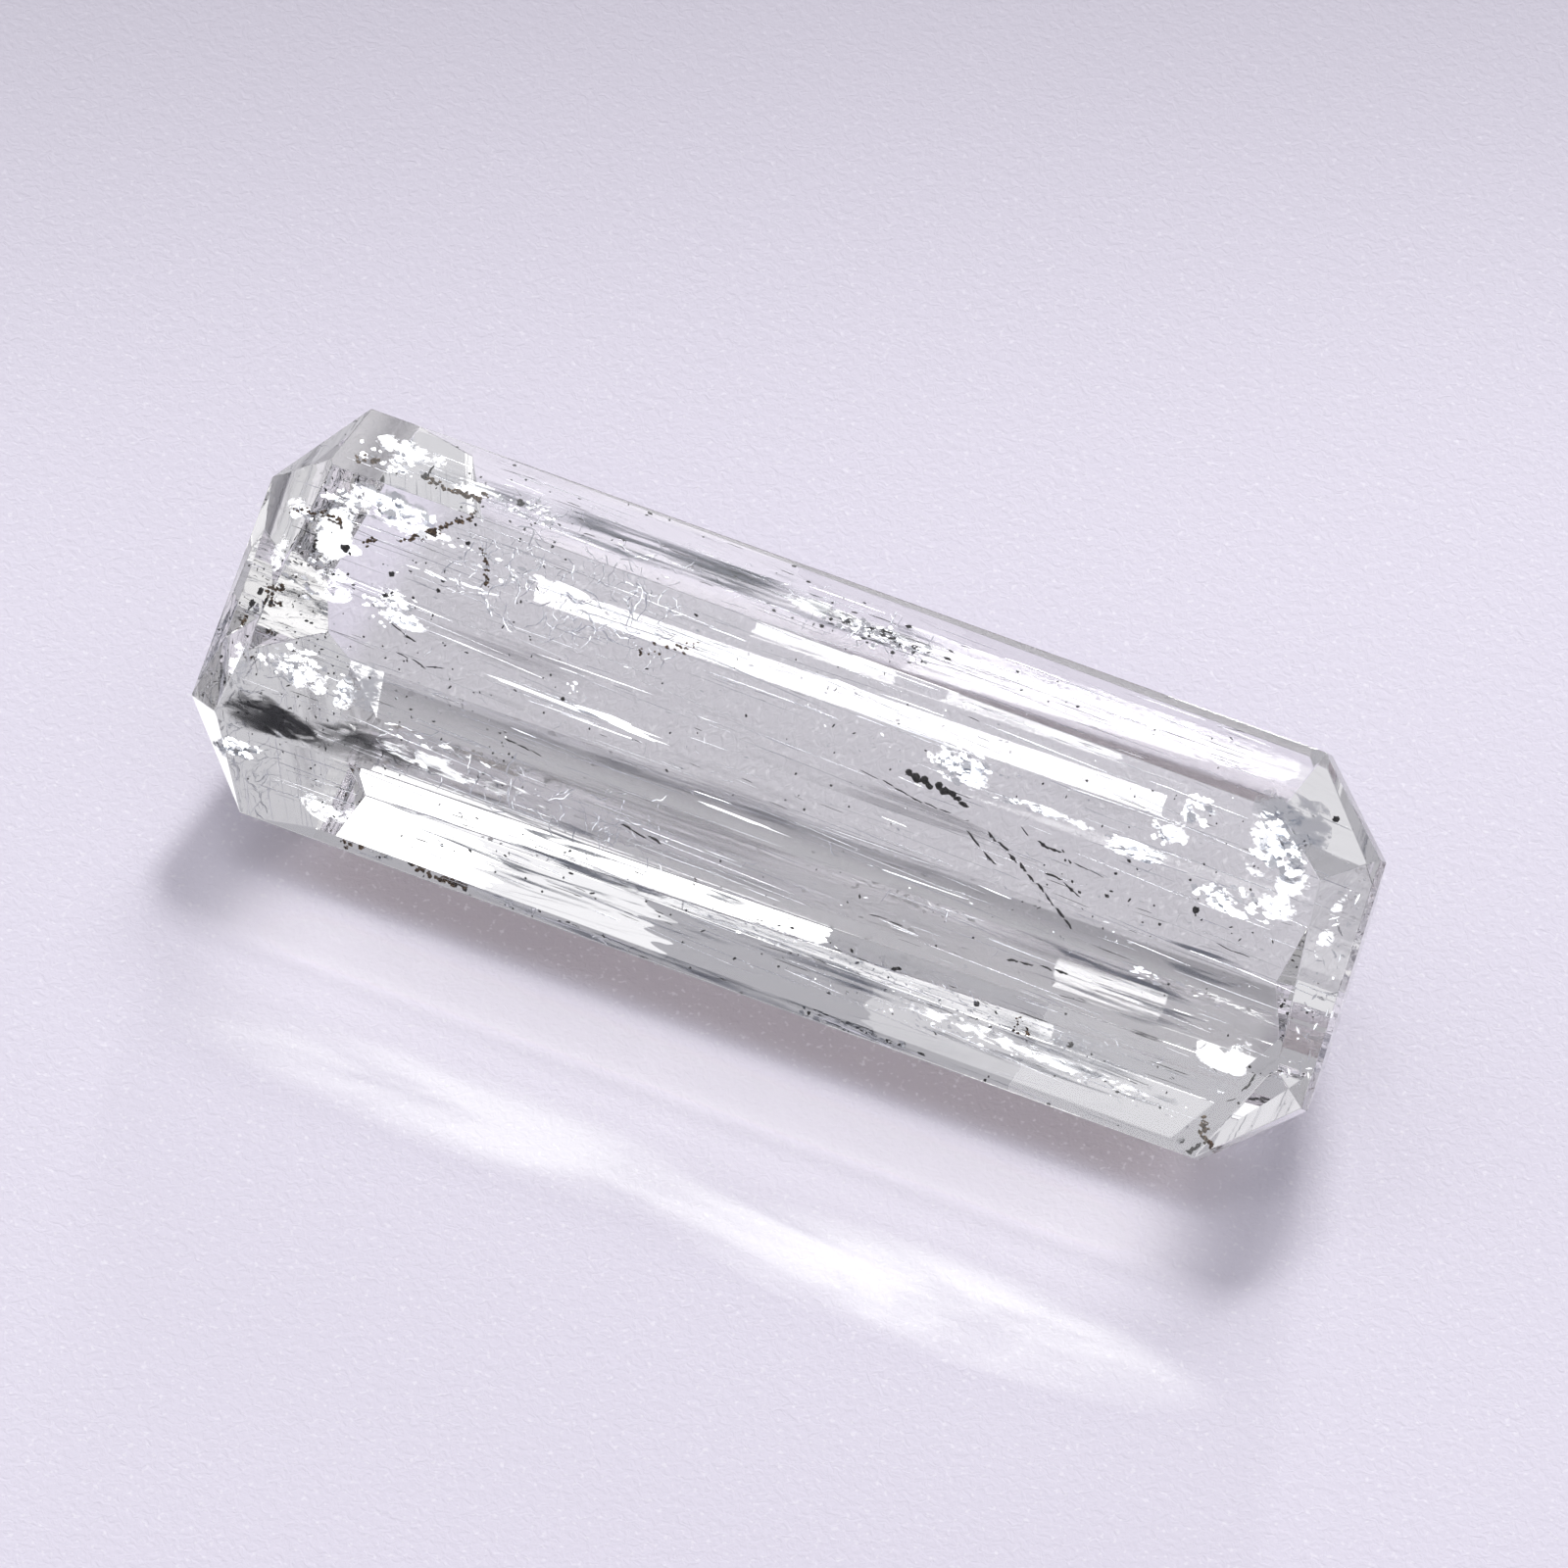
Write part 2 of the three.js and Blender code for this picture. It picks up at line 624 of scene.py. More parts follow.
        # the ground colour, with painted shade under the stone, painted passed light and a painted contact
        # shadow
        ground = s.blend(shade, s.blend(fade, self.near, self.back), self.shaded)
        ground = s.blend(passed_light, ground, self.passed_light)
        ground = s.blend(contact_shadow, ground, self.contact_shadow)
        return s.finish(
            s.surface(
                {
                    "Base Color": s.blend(lit, ground, self.glow),
                    "Roughness": self.roughness,
                    "Specular IOR Level": 0.0,
                    "Emission Color": s.blend(emitted.math("MINIMUM", 1.0), BLACK, self.glow),
                    "Emission Strength": self.emission,
                    "Normal": s.bump(self.relief, s.noise(self.grain)),
                }
            )
        )

    def fade(self, x: Value, y: Value) -> Value:
        """Grades the floor from front to back.

        Args:
            x: the place along X in metres.
            y: the place along Y in metres.

        Returns:
            0 in front of the stone, rising to 1 towards the back.
        """
        turn = math.radians(self.fade_azimuth)
        away = y * math.cos(turn) - x * math.sin(turn)
        aside = x * math.cos(turn) + y * math.sin(turn)
        return (away - aside * self.fade_skew).ramp(self.fade_start, self.fade_end)


Finish = GrainFinish | FilmFinish | FrostFinish | VeilFinish


def streaks(cells: Triple, swirl: float) -> Pattern:
    """Returns the pattern of a veil's streaks."""
    return Pattern(cells, 2.0, swirl, TABLE_TURN)


BLACK_GRAIN = GrainFinish("black_mineral", (0.008, 0.008, 0.009, 1), (0.05, 0.045, 0.04, 1), 0.5)
RUST_GRAIN = GrainFinish("rusty_mineral", (0.05, 0.028, 0.012, 1), (0.30, 0.19, 0.10, 1), 0.7)
TUBE_WALL = FilmFinish("tube_wall", (0.62, 0.65, 0.70, 1), (0.95, 0.95, 0.97, 1), 0.12)
BRIGHT = FrostFinish("bright_film", fill=0.50)
RIPPLED = FrostFinish("rippled_film", crackle=Pattern((1800, 11000, 11000), 3.0, 1.1, TABLE_TURN), fill=0.14)
MILK = VeilFinish(
    "milky_veil",
    (0.50, 0.49, 0.50, 1),
    (0.84, 0.83, 0.86, 1),
    peak=0.50,
    clear_below=0.36,
    dense_above=0.70,
    streaks=streaks((240, 8500, 8500), 0.3),
)
ASH = VeilFinish(
    "ash",
    (0.10, 0.12, 0.17, 1),
    (0.30, 0.33, 0.40, 1),
    peak=0.75,
    clear_below=0.50,
    dense_above=0.66,
    streaks=streaks((420, 8000, 8000), 1.0),
)
HAZE = VeilFinish(
    "haze",
    (0.20, 0.23, 0.30, 1),
    (0.42, 0.45, 0.52, 1),
    peak=0.60,
    clear_below=0.40,
    dense_above=0.60,
    streaks=streaks((420, 12000, 12000), 0.9),
)
SMOKE = VeilFinish(
    "smoke",
    (0.012, 0.013, 0.018, 1),
    (0.05, 0.05, 0.06, 1),
    peak=0.96,
    clear_below=0.32,
    dense_above=0.56,
    streaks=streaks((1500, 5600, 5600), 1.4),
)


# ---------------------------------------------------------------- modelling


def only(obj: bpy.types.Object) -> None:
    """Selects one object and makes it active.

    Args:
        obj: the object.
    """
    bpy.ops.object.select_all(action="DESELECT")
    obj.select_set(True)
    bpy.context.view_layer.objects.active = obj


def edit_all() -> None:
    """Starts editing the active object, with all of it selected."""
    bpy.ops.object.mode_set(mode="EDIT")
    bpy.ops.mesh.select_all(action="SELECT")


def close_shape() -> bpy.types.Object:
    """Turns every face of the edited object outwards and stops editing.

    Returns:
        The object.
    """
    bpy.ops.mesh.select_all(action="SELECT")
    bpy.ops.mesh.normals_make_consistent(inside=False)
    bpy.ops.object.mode_set(mode="OBJECT")
    return bpy.context.active_object


class Habit(Enum):
    """The shapes that sealed-in matter takes, each with half the length of its template."""

    GRAIN = ("grain", 1.1)
    NEEDLE = ("needle", 0.5)
    WORM = ("worm", 0.5)
    FLAKE = ("flake", 1.1)
    PLATE = ("plate", 0.5)

    @property
    def half(self) -> float:
        """Returns half the template's length, with room for its raggedness."""
        return self.value[1]


@dataclass
class Templates:
    """One model of each habit and variant, made when first asked for and taken away at the end.

    The sizes are shares of a template's own length or radius, and the turns are in radians.
    """

    grain_lumpiness: float = 0.34
    grain_bulge: float = 0.2
    tube_sides: int = 5
    needle_stations: tuple[float, ...] = (-0.5, -0.3, -0.08, 0.15, 0.34, 0.5)
    needle_widths: tuple[float, ...] = (0.15, 0.8, 1.0, 0.75, 0.9, 0.12)
    needle_uneven: Span = (0.8, 1.2)
    needle_stray: Span = (-0.5, 0.5)
    needle_seed: int = 100
    worm_steps: int = 7
    worm_start: Span = (-0.6, 0.6)
    worm_bend: Span = (-0.9, 0.9)
    worm_swing: float = 1.2
    worm_width: float = 0.030
    worm_tip: float = 0.008
    worm_uneven: Span = (0.6, 1.5)
    worm_seed: int = 200
    flake_corners: int = 13
    flake_reach: Span = (0.45, 1.15)
    flake_seed: int = 300
    plate_corners: int = 12
    made: dict[tuple[Habit, int], bpy.types.Object] = field(default_factory=dict)

    def get(self, habit: Habit, variant: int) -> bpy.types.Object:
        """Returns the template of a habit and variant, modelling it the first time.

        Args:
            habit: the shape.
            variant: which of its variants.

        Returns:
            The template.
        """
        key = (habit, variant)
        if key not in self.made:
            builders = {
                Habit.GRAIN: self.grain,
                Habit.NEEDLE: self.needle,
                Habit.WORM: self.worm,
                Habit.FLAKE: self.flake,
                Habit.PLATE: self.plate,
            }
            bpy.ops.object.select_all(action="DESELECT")
            self.made[key] = builders[habit](variant)
        return self.made[key]

    def clear(self) -> None:
        """Removes the templates."""
        for obj in self.made.values():
            mesh = obj.data
            bpy.data.objects.remove(obj)
            bpy.data.meshes.remove(mesh)
        self.made.clear()

    def grain(self, variant: int) -> bpy.types.Object:
        """Models a lumpy grain with a radius of about 1.

        Args:
            variant: which grain.

        Returns:
            The grain.
        """
        bpy.ops.mesh.primitive_ico_sphere_add(subdivisions=2, radius=1.0)
        edit_all()
        bpy.ops.transform.vertex_random(
            offset=self.grain_lumpiness, uniform=1.0, normal=self.grain_bulge, seed=variant
        )
        return close_shape()

    def tube(self, path: list[Triple], widths: list[float]) -> bpy.types.Object:
        """Models a closed tube that follows a path which runs mostly along X.

        Args:
            path: the centres of its rings.
            widths: the radius of each ring.

        Returns:
            The tube.
        """
        bpy.ops.mesh.primitive_circle_add(
            vertices=self.tube_sides, radius=widths[0], fill_type="NGON", rotation=(0, math.radians(90), 0)
        )
        bpy.ops.object.transform_apply(location=True, rotation=True, scale=True)
        edit_all()
        bpy.ops.transform.translate(value=path[0])
        for here, there, width, wider in zip(path, path[1:], widths, widths[1:]):
            step = tuple(b - a for a, b in zip(here, there))
            bpy.ops.mesh.extrude_region_move(TRANSFORM_OT_translate={"value": step})
            growth = wider / width
            bpy.ops.transform.resize(value=(1.0, growth, growth), center_override=there)
        return close_shape()

    def needle(self, variant: int) -> bpy.types.Object:
        """Models a needle of length 1 and radius 1 that tapers to both ends.

        Args:
            variant: which needle.

        Returns:
            The needle.
        """
        draw = random.Random(self.needle_seed + variant)
        stray = self.needle_stray
        path = [(x, draw.uniform(*stray), draw.uniform(*stray)) for x in self.needle_stations]
        return self.tube(path, [width * draw.uniform(*self.needle_uneven) for width in self.needle_widths])

    def worm(self, variant: int) -> bpy.types.Object:
        """Models a flat squiggle about 1 long, as of a branching, healed crack.

        Args:
            variant: which squiggle.

        Returns:
            The squiggle.
        """
        draw = random.Random(self.worm_seed + variant)
        heading = draw.uniform(*self.worm_start)
        path = [(-0.5, 0.0, 0.0)]
        for _ in range(self.worm_steps):
            heading += draw.uniform(*self.worm_bend)
            heading = max(-self.worm_swing, min(self.worm_swing, heading))
            x, y, z = path[-1]
            path.append((x + math.cos(heading) / self.worm_steps, y + math.sin(heading) / self.worm_steps, z))
        widths = [self.worm_width * draw.uniform(*self.worm_uneven) for _ in path]
        widths[0] = widths[-1] = self.worm_tip
        return self.tube(path, widths)

    def flake(self, variant: int) -> bpy.types.Object:
        """Models a ragged plate with a radius of about 1 and a thickness of 1.

        Args:
            variant: which flake.

        Returns:
            The flake.
        """
        draw = random.Random(self.flake_seed + variant)
        bpy.ops.mesh.primitive_circle_add(vertices=self.flake_corners, radius=1.0, fill_type="NGON")
        obj = bpy.context.active_object
        for corner in range(self.flake_corners):
            reach = draw.uniform(*self.flake_reach)
            bpy.ops.object.mode_set(mode="EDIT")
            bpy.ops.mesh.select_all(action="DESELECT")
            bpy.ops.object.mode_set(mode="OBJECT")
            obj.data.vertices[corner].select = True
            bpy.ops.object.mode_set(mode="EDIT")
            bpy.ops.transform.resize(value=(reach, reach, 1.0), center_override=(0.0, 0.0, 0.0))
            bpy.ops.object.mode_set(mode="OBJECT")
        edit_all()
        bpy.ops.mesh.extrude_region_move(TRANSFORM_OT_translate={"value": (0, 0, 1.0)})
        return close_shape()

    def plate(self, variant: int) -> bpy.types.Object:
        """Models a plate with blunted corners, 1 by 1 by 1 before it is scaled thin.

        Args:
            variant: how many corners it has beyond the fewest.

        Returns:
            The plate.
        """
        bpy.ops.mesh.primitive_cylinder_add(vertices=self.plate_corners + variant, radius=0.5, depth=1.0)
        edit_all()
        return close_shape()


SAME_FACET = 0.99995  # least cosine between the normals of two triangles of one facet
TABLE_NEARWARD = 0.5  # least part of the table's normal towards the near side
TABLE_UPWARD = 0.6  # least part of the table's normal upwards


@dataclass
class Facet:
    """One flat facet of the stone, gathered from the triangles that lie in it."""

    normal: Vector
    offset: float
    area: float = 0.0
    moment: Vector = field(default_factory=Vector)  # sum of the triangles' middles times their areas

    def holds(self, face: bpy.types.MeshPolygon) -> bool:
        """Tells whether a triangle faces the facet's way."""
        return self.normal.dot(face.normal) > SAME_FACET

    def gather(self, face: bpy.types.MeshPolygon) -> None:
        """Takes a triangle into the facet."""
        self.area += face.area
        self.moment += face.center * face.area

    def may_be_table(self) -> bool:
        """Tells whether the facet faces up and towards the near side, as the tilted table does."""
        return self.normal.y < -TABLE_NEARWARD and self.normal.z > TABLE_UPWARD


@dataclass
class Inside:
    """The inside of the stone: its facets, and places measured from the middle of the table."""

    facets: list[Facet]
    centre: Vector
    along: Vector
    across: Vector
    up: Vector

    @classmethod
    def of(cls, mesh: bpy.types.Mesh) -> "Inside":
        """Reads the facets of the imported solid.

        Args:
            mesh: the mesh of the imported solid.

        Returns:
            The measured inside.
        """
        facets: list[Facet] = []
        for face in mesh.polygons:
            facet = next((known for known in facets if known.holds(face)), None)
            if facet is None:
                facet = Facet(face.normal.copy(), face.normal.dot(face.center))
                facets.append(facet)
            facet.gather(face)
        table = max(filter(Facet.may_be_table, facets), key=lambda facet: facet.area)
        up = table.normal.normalized()
        along = (Vector((1, 0, 0)) - up * up.x).normalized()
        return cls(facets, table.moment / table.area, along, up.cross(along), up)

    def point(self, place: Triple) -> Vector:
        """Finds a place in the stone.

        Args:
            place: along, across and depth in millimetres.

        Returns:
            The point, in the frame's metres.
        """
        a, b, depth = place
        return self.centre + (self.along * a + self.across * b - self.up * depth) * MM

    def clearance(self, point: Vector) -> float:
        """Returns how far inside the nearest facet a point is, in millimetres."""
        return min(facet.offset - facet.normal.dot(point) for facet in self.facets) / MM


@dataclass(frozen=True)
class Lie:
    """The way a thing lies in the stone.

    rise and lean turn its flat face away from the table's direction, towards the far side and
    towards the right, in degrees. spin turns it within its own plane, in degrees.
    """

    rise: float = 0.0
    lean: float = 0.0
    spin: float = 0.0


LEVEL = Lie()  # flat under the table
TABLE_LUSTRE = Lie(13.9, 5.7)  # films that catch the light from above, seen through the table
FAR_LUSTRE = Lie(27.2, 6.3)  # the same, seen through the far crown
NEAR_LUSTRE = Lie(9.5, 5.6)  # the same, seen through the near crown
LEFT_LUSTRE = Lie(15.6, -7.4)  # the same, seen through the left crown
RIGHT_LUSTRE = Lie(17.2, 23.5)  # the same, seen through the right crown


@dataclass(frozen=True)
class Plate:
    """One plate: its place in the stone, its length and width in millimetres, and how it lies."""

    place: Triple
    size: Span
    lie: Lie = TABLE_LUSTRE


@dataclass(frozen=True)
class Patch:
    """Flakes strewn over an oval patch.

    middle is the patch's place in the stone, and half is its half length and half width in
    millimetres. widths are the least and greatest half width of a flake in millimetres, tilt is how
    much the tilts differ in degrees, and stretch is how much longer than wide the flakes are.
    """

    middle: Triple
    half: Span
    count: int
    widths: Span
    lie: Lie = TABLE_LUSTRE
    tilt: float = 2.2
    stretch: float = 1.6


@dataclass(frozen=True)
class Scatter:
    """Shapes strewn over a rectangle of the table.

    area holds its left, right, near and far limits, and depths the least and greatest depth, in
    millimetres. lengths and widths are the least and greatest scale of a shape in millimetres, but a
    squiggle's widths are shares of its length. tilt and spin are how much the tilts and headings
    differ, in degrees.
    """

    count: int
    area: tuple[float, float, float, float]
    depths: Span
    lengths: Span
    widths: Span
    lie: Lie = LEVEL
    tilt: float = 3.0
    spin: float = 4.0


@dataclass(frozen=True)
class Chain:
    """Crumbs strung along a path: how many, their radii, how far they stray, and the path's corners."""

    count: int
    radii: Span
    stray: float
    path: tuple[Triple, ...]


@dataclass(frozen=True)
class Thread:
    """Needles laid end to end: their radius, the chance of a grain at each joint, and the path."""

    radius: float
    bead: float
    path: tuple[Triple, ...]


@dataclass
class Deposit:
    """A group of sealed-in shapes of one finish, merged into one piece."""

    name: str
    finish: Finish
    inside: Inside
    templates: Templates
    seed: int
    variants: int = 4
    margin: float = 0.04  # least distance from a facet, in millimetres
    least_reach: float = 0.4  # least half length that needs room, as a share of the width
    flake_thickness: float = 0.004  # millimetres
    parts: list[bpy.types.Object] = field(default_factory=list)
    skipped: int = 0

    # how chains, threads and patches vary: spins in degrees, the needles' length and the patches'
    # depths in millimetres, and the rest as shares of a radius, a width or a length
    crumb_long: Span = (1.0, 1.9)
    crumb_flat: Span = (0.6, 1.0)
    crumb_spin: Span = (-40.0, 40.0)
    needle_length: float = 0.3
    needle_stray: float = 0.7
    needle_thick: Span = (0.9, 2.0)
    needle_overlap: Span = (0.8, 1.15)
    needle_spin: float = 5.0
    bead_size: Span = (1.2, 2.2)
    bead_long: float = 1.5
    patch_crowding: float = 0.6
    patch_depths: Span = (0.0, 0.15)
    patch_sink: float = 0.4
    patch_spin: float = 16.0
    flake_long: Span = (0.7, 1.3)

    def __post_init__(self) -> None:
        """Starts the piece's own row of random draws."""
        self.draw = random.Random(self.seed)

    def axes(self, lie: Lie) -> tuple[Vector, Vector, Vector]:
        """Works out the directions of a shape's own axes.

        Args:
            lie: how the shape is turned.

        Returns:
            The directions of its length, its width and its thickness.
        """
        inside = self.inside
        up = (
            inside.up
            + inside.across * math.tan(math.radians(lie.rise))
            + inside.along * math.tan(math.radians(lie.lean))
        ).normalized()
        spin = math.radians(lie.spin)
        heading = inside.along * math.cos(spin) + inside.across * math.sin(spin)
        first = (heading - up * up.dot(heading)).normalized()
        return first, up.cross(first), up

    def fits(self, habit: Habit, middle: Vector, axes: tuple[Vector, Vector, Vector], size: Triple) -> bool:
        """Tells whether a shape lies inside the stone.

        Args:
            habit: the shape.
            middle: its middle.
            axes: the directions of its length, width and thickness.
            size: its scale in millimetres, along its own axes.

        Returns:
            Whether its middle and its four ends keep the margin from every facet.
        """
        reach = axes[0] * max(size[0] * habit.half, size[1] * self.least_reach) * MM
        wide = axes[1] * (size[1] * habit.half) * MM
        ends = [middle, middle + reach, middle - reach, middle + wide, middle - wide]
        return min(self.inside.clearance(end) for end in ends) >= self.margin

    def add(self, habit: Habit, place: Triple, size: Triple, lie: Lie = LEVEL) -> None:
        """Adds one shape, if it fits inside the stone.

        Args:
            habit: which template it is a copy of.
            place: its middle, as along, across and depth in millimetres.
            size: its scale in millimetres, along its own axes.
            lie: how it is turned.
        """
        variant = self.draw.randrange(self.variants)
        middle = self.inside.point(place)
        axes = self.axes(lie)
        if not self.fits(habit, middle, axes, size):
            self.skipped += 1
            if habit is Habit.PLATE:
                log.warning("%s: no room for a plate at %s", self.name, place)
            return
        template = self.templates.get(habit, variant)
        copy = template.copy()
        copy.data = template.data.copy()
        columns = [*(axis * scale * MM for axis, scale in zip(axes, size)), middle]
        rows = [[column[i] for column in columns] for i in range(3)]
        copy.data.transform(Matrix([*rows, [0, 0, 0, 1]]))
        copy.matrix_world = Matrix.Identity(4)
        bpy.context.scene.collection.objects.link(copy)
        self.parts.append(copy)

    def plates(self, rows: tuple[Plate, ...], thickness: float) -> None:
        """Adds plates.

        Args:
            rows: the plates.
            thickness: their thickness in millimetres.
        """
        for plate in rows:
            self.add(Habit.PLATE, plate.place, (*plate.size, thickness), plate.lie)

    def jitter(self, lie: Lie, amount: float, spin: float) -> Lie:
        """Returns a lie turned at random by about amount, and spun by up to spin, in degrees."""
        return Lie(
            lie.rise + self.draw.gauss(0, amount),
            lie.lean + self.draw.gauss(0, amount),
            lie.spin + self.draw.uniform(-spin, spin),
        )

    def between(self, a: Triple, b: Triple, part: float, stray: float) -> Triple:
        """Returns a place between two others, strayed at random by about stray millimetres."""
        return tuple(p + (q - p) * part + self.draw.gauss(0, stray) for p, q in zip(a, b))

    def chain(self, row: Chain) -> None:
        """Strings crumbs along a path.

        Args:
            row: the crumbs and their path.
        """
        legs = list(zip(row.path, row.path[1:]))
        for index in range(row.count):
            t = (index + self.draw.random()) / row.count * len(legs)
            a, b = legs[min(int(t), len(legs) - 1)]
            place = self.between(a, b, t - int(t), row.stray)
            radius = self.draw.uniform(*row.radii)
            long = radius * self.draw.uniform(*self.crumb_long)
            flat = radius * self.draw.uniform(*self.crumb_flat)
            self.add(Habit.GRAIN, place, (long, radius, flat), Lie(spin=self.draw.uniform(*self.crumb_spin)))

    def thread(self, row: Thread) -> None:
        """Lays needles end to end along a path, with grains at some joints.

        Args:
            row: the needles and their path.
        """
        for a, b in zip(row.path, row.path[1:]):
            length = math.hypot(b[0] - a[0], b[1] - a[1])
            spin = math.degrees(math.atan2(b[1] - a[1], b[0] - a[0]))
            pieces = max(1, round(length / self.needle_length))
            for index in range(pieces):
                place = self.between(a, b, (index + 0.5) / pieces, row.radius * self.needle_stray)
                thick = row.radius * self.draw.uniform(*self.needle_thick)
                size = (length / pieces * self.draw.uniform(*self.needle_overlap), thick, thick)
                self.add(Habit.NEEDLE, place, size, Lie(spin=spin + self.draw.gauss(0, self.needle_spin)))
                if self.draw.random() < row.bead:
                    lump = row.radius * self.draw.uniform(*self.bead_size)
                    self.add(Habit.GRAIN, place, (lump * self.bead_long, lump, lump), Lie(spin=spin))

    def patch(self, row: Patch) -> None:
        """Strews flakes over an oval patch, a little denser towards its middle.

        Args:
            row: the flakes and their patch.
        """
        for _ in range(row.count):
            radius = self.draw.uniform(0, 1) ** self.patch_crowding
            angle = self.draw.uniform(0, 2 * math.pi)
            width = self.draw.uniform(*row.widths)
            place = (
                row.middle[0] + row.half[0] * radius * math.cos(angle),
                row.middle[1] + row.half[1] * radius * math.sin(angle),
                row.middle[2] + self.draw.uniform(*self.patch_depths) + width * self.patch_sink,
            )
            long = width * row.stretch * self.draw.uniform(*self.flake_long)
            size = (long, width, self.flake_thickness)
            self.add(Habit.FLAKE, place, size, self.jitter(row.lie, row.tilt, self.patch_spin))

    def strew(self, habit: Habit, row: Scatter, flat: float = 1.0) -> None:
        """Strews shapes over a rectangle of the table, more short ones than long ones.

        Args:
            habit: the shape.
            row: where the shapes lie, and how big they are.
            flat: how thick a needle is for its width, or a squiggle for its length.
        """
        shortest, longest = row.lengths
        left, right, near, far = row.area
        for _ in range(row.count):
            along, across = self.draw.uniform(left, right), self.draw.uniform(near, far)
            place = (along, across, self.draw.uniform(*row.depths))
            length = shortest + (longest - shortest) * self.draw.random() ** 2
            width = self.draw.uniform(*row.widths)
            size = {
                Habit.GRAIN: (length, width, width),
                Habit.FLAKE: (length, width, self.flake_thickness),
                Habit.WORM: (length, length * width, length * flat),
                Habit.NEEDLE: (length, width, width * flat),
            }[habit]
            self.add(habit, place, size, self.jitter(row.lie, row.tilt, row.spin))

    def build(self) -> bpy.types.Object:
        """Merges the shapes into one piece.

        Returns:
            The piece.
        """
        bpy.ops.object.select_all(action="DESELECT")
        for part in self.parts:
            part.select_set(True)
        piece = self.parts[0]
        bpy.context.view_layer.objects.active = piece
        count = len(self.parts)
        bpy.ops.object.join()
        piece.name = self.name
        piece.data.name = self.name
        piece.data.materials.clear()
        piece.data.materials.append(self.finish.material())
        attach(piece, BODY)
        faces = len(piece.data.polygons)
        log.info("%s: %d shapes, %d faces, %d skipped", self.name, count, faces, self.skipped)
        return piece


@dataclass
class CutStone:
    """The gemstone itself."""

    finish: CrystalFinish = field(default_factory=CrystalFinish)
    edge_wear: float = 0.022 * MM
    resting_height: float = 0.05 * MM
    weld_distance: float = 0.002 * MM
    flat_within: float = math.radians(0.5)

    def keep_sharp(self, mesh: bpy.types.Mesh) -> None:
        """Takes the wear off the edges of the resting facet, where it would show as a bright line.

        Args:
            mesh: the stone's mesh, with bevel weights.
        """
        weights = mesh.attributes["bevel_weight_edge"].data
        for edge in mesh.edges:
            if max(mesh.vertices[index].co.z for index in edge.vertices) < self.resting_height:
                weights[edge.index].value = 0.0

    def build(self) -> Inside:
        """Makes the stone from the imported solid, with its edges worn round.

        Returns:
            The stone's measured inside.
        """
        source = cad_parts[STONE_NODE]
        stone = bpy.data.objects.new("polished_stone", source.data.copy())
        bpy.context.scene.collection.objects.link(stone)
        inside = Inside.of(stone.data)
        only(stone)
        bpy.ops.mesh.customdata_custom_splitnormals_clear()
        bpy.ops.object.shade_flat()
        edit_all()
        bpy.ops.mesh.remove_doubles(threshold=self.weld_distance)
        bpy.ops.mesh.dissolve_limited(angle_limit=self.flat_within)
        bpy.ops.mesh.normals_make_consistent(inside=False)
        bpy.ops.mesh.select_all(action="SELECT")
        bpy.ops.transform.edge_bevelweight(value=1.0)
        bpy.ops.object.mode_set(mode="OBJECT")
        self.keep_sharp(stone.data)
        bevel = stone.modifiers.new("worn_edges", "BEVEL")
        bevel.width = self.edge_wear
        bevel.segments = 2
        bevel.limit_method = "WEIGHT"
        bpy.ops.object.modifier_apply(modifier=bevel.name)
        bpy.ops.object.shade_flat()
        stone.data.materials.clear()
        stone.data.materials.append(self.finish.material())
        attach(stone, BODY)
        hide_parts(STONE_NODE)
        log.info("polished_stone: %d faces", len(stone.data.polygons))
        return inside


# ---------------------------------------------------------------- what is sealed in

# Places are (along, across, depth) in millimetres from the middle of the table. All sizes are in
# millimetres too, and all turns in degrees.

FILM_THICKNESS = 0.003
VEIL_THICKNESS = 0.005
TUBE_FLATNESS = 0.25  # a tube's thickness for its width
SQUIGGLE_FLATNESS = 0.15  # a squiggle's thickness for its length

DOT_LONG = 1.15  # a dot's half length for its radius
DOT_FLAT = 0.8  # a dot's half thickness for its radius
DOT_SPIN = (-60.0, 60.0)
LUMP_DEPTH = 0.40
LUMP_THICKNESS = 0.05  # half of it
LUMP_HEADING = -18.0
LUMP_SPIN = 10.0

# black dots: place and radius
BLACK_DOTS: tuple[tuple[Triple, float], ...] = (
    ((-8.19, 1.04, 0.35), 0.072),
    ((-7.28, 0.90, 0.35), 0.042),
    ((-6.43, 0.90, 0.35), 0.032),
    ((-7.26, 0.53, 0.35), 0.046),
    ((-6.41, 1.09, 0.35), 0.034),
    ((-8.23, 0.56, 0.35), 0.034),
    ((-6.21, 1.79, 0.35), 0.036),
    ((-9.30, -0.11, 0.55), 0.055),
    ((-9.38, -0.34, 0.60), 0.055),
    ((-9.11, -0.21, 0.40), 0.034),
    ((7.49, 0.16, 0.35), 0.050),
    ((6.20, -2.56, 0.50), 0.046),
    ((4.50, -2.45, 0.45), 0.042),
    ((3.00, -2.38, 0.40), 0.034),
    ((-5.65, 2.66, 0.50), 0.060),
    ((-7.34, 2.52, 0.50), 0.055),
    ((-3.80, -0.08, 0.35), 0.030),
    ((9.00, 2.20, 0.90), 0.050),
)

# the row of dark lumps: place along and across, half length and half width
DARK_LUMPS: tuple[tuple[float, float, float, float], ...] = (
    (2.18, 0.69, 0.07, 0.045),
    (2.32, 0.65, 0.09, 0.060),
    (2.47, 0.66, 0.08, 0.055),
    (2.57, 0.59, 0.06, 0.045),
    (2.73, 0.65, 0.07, 0.055),
    (2.83, 0.60, 0.08, 0.060),
    (2.96, 0.60, 0.08, 0.050),
    (3.08, 0.55, 0.07, 0.040),
    (3.22, 0.50, 0.09, 0.032),
)

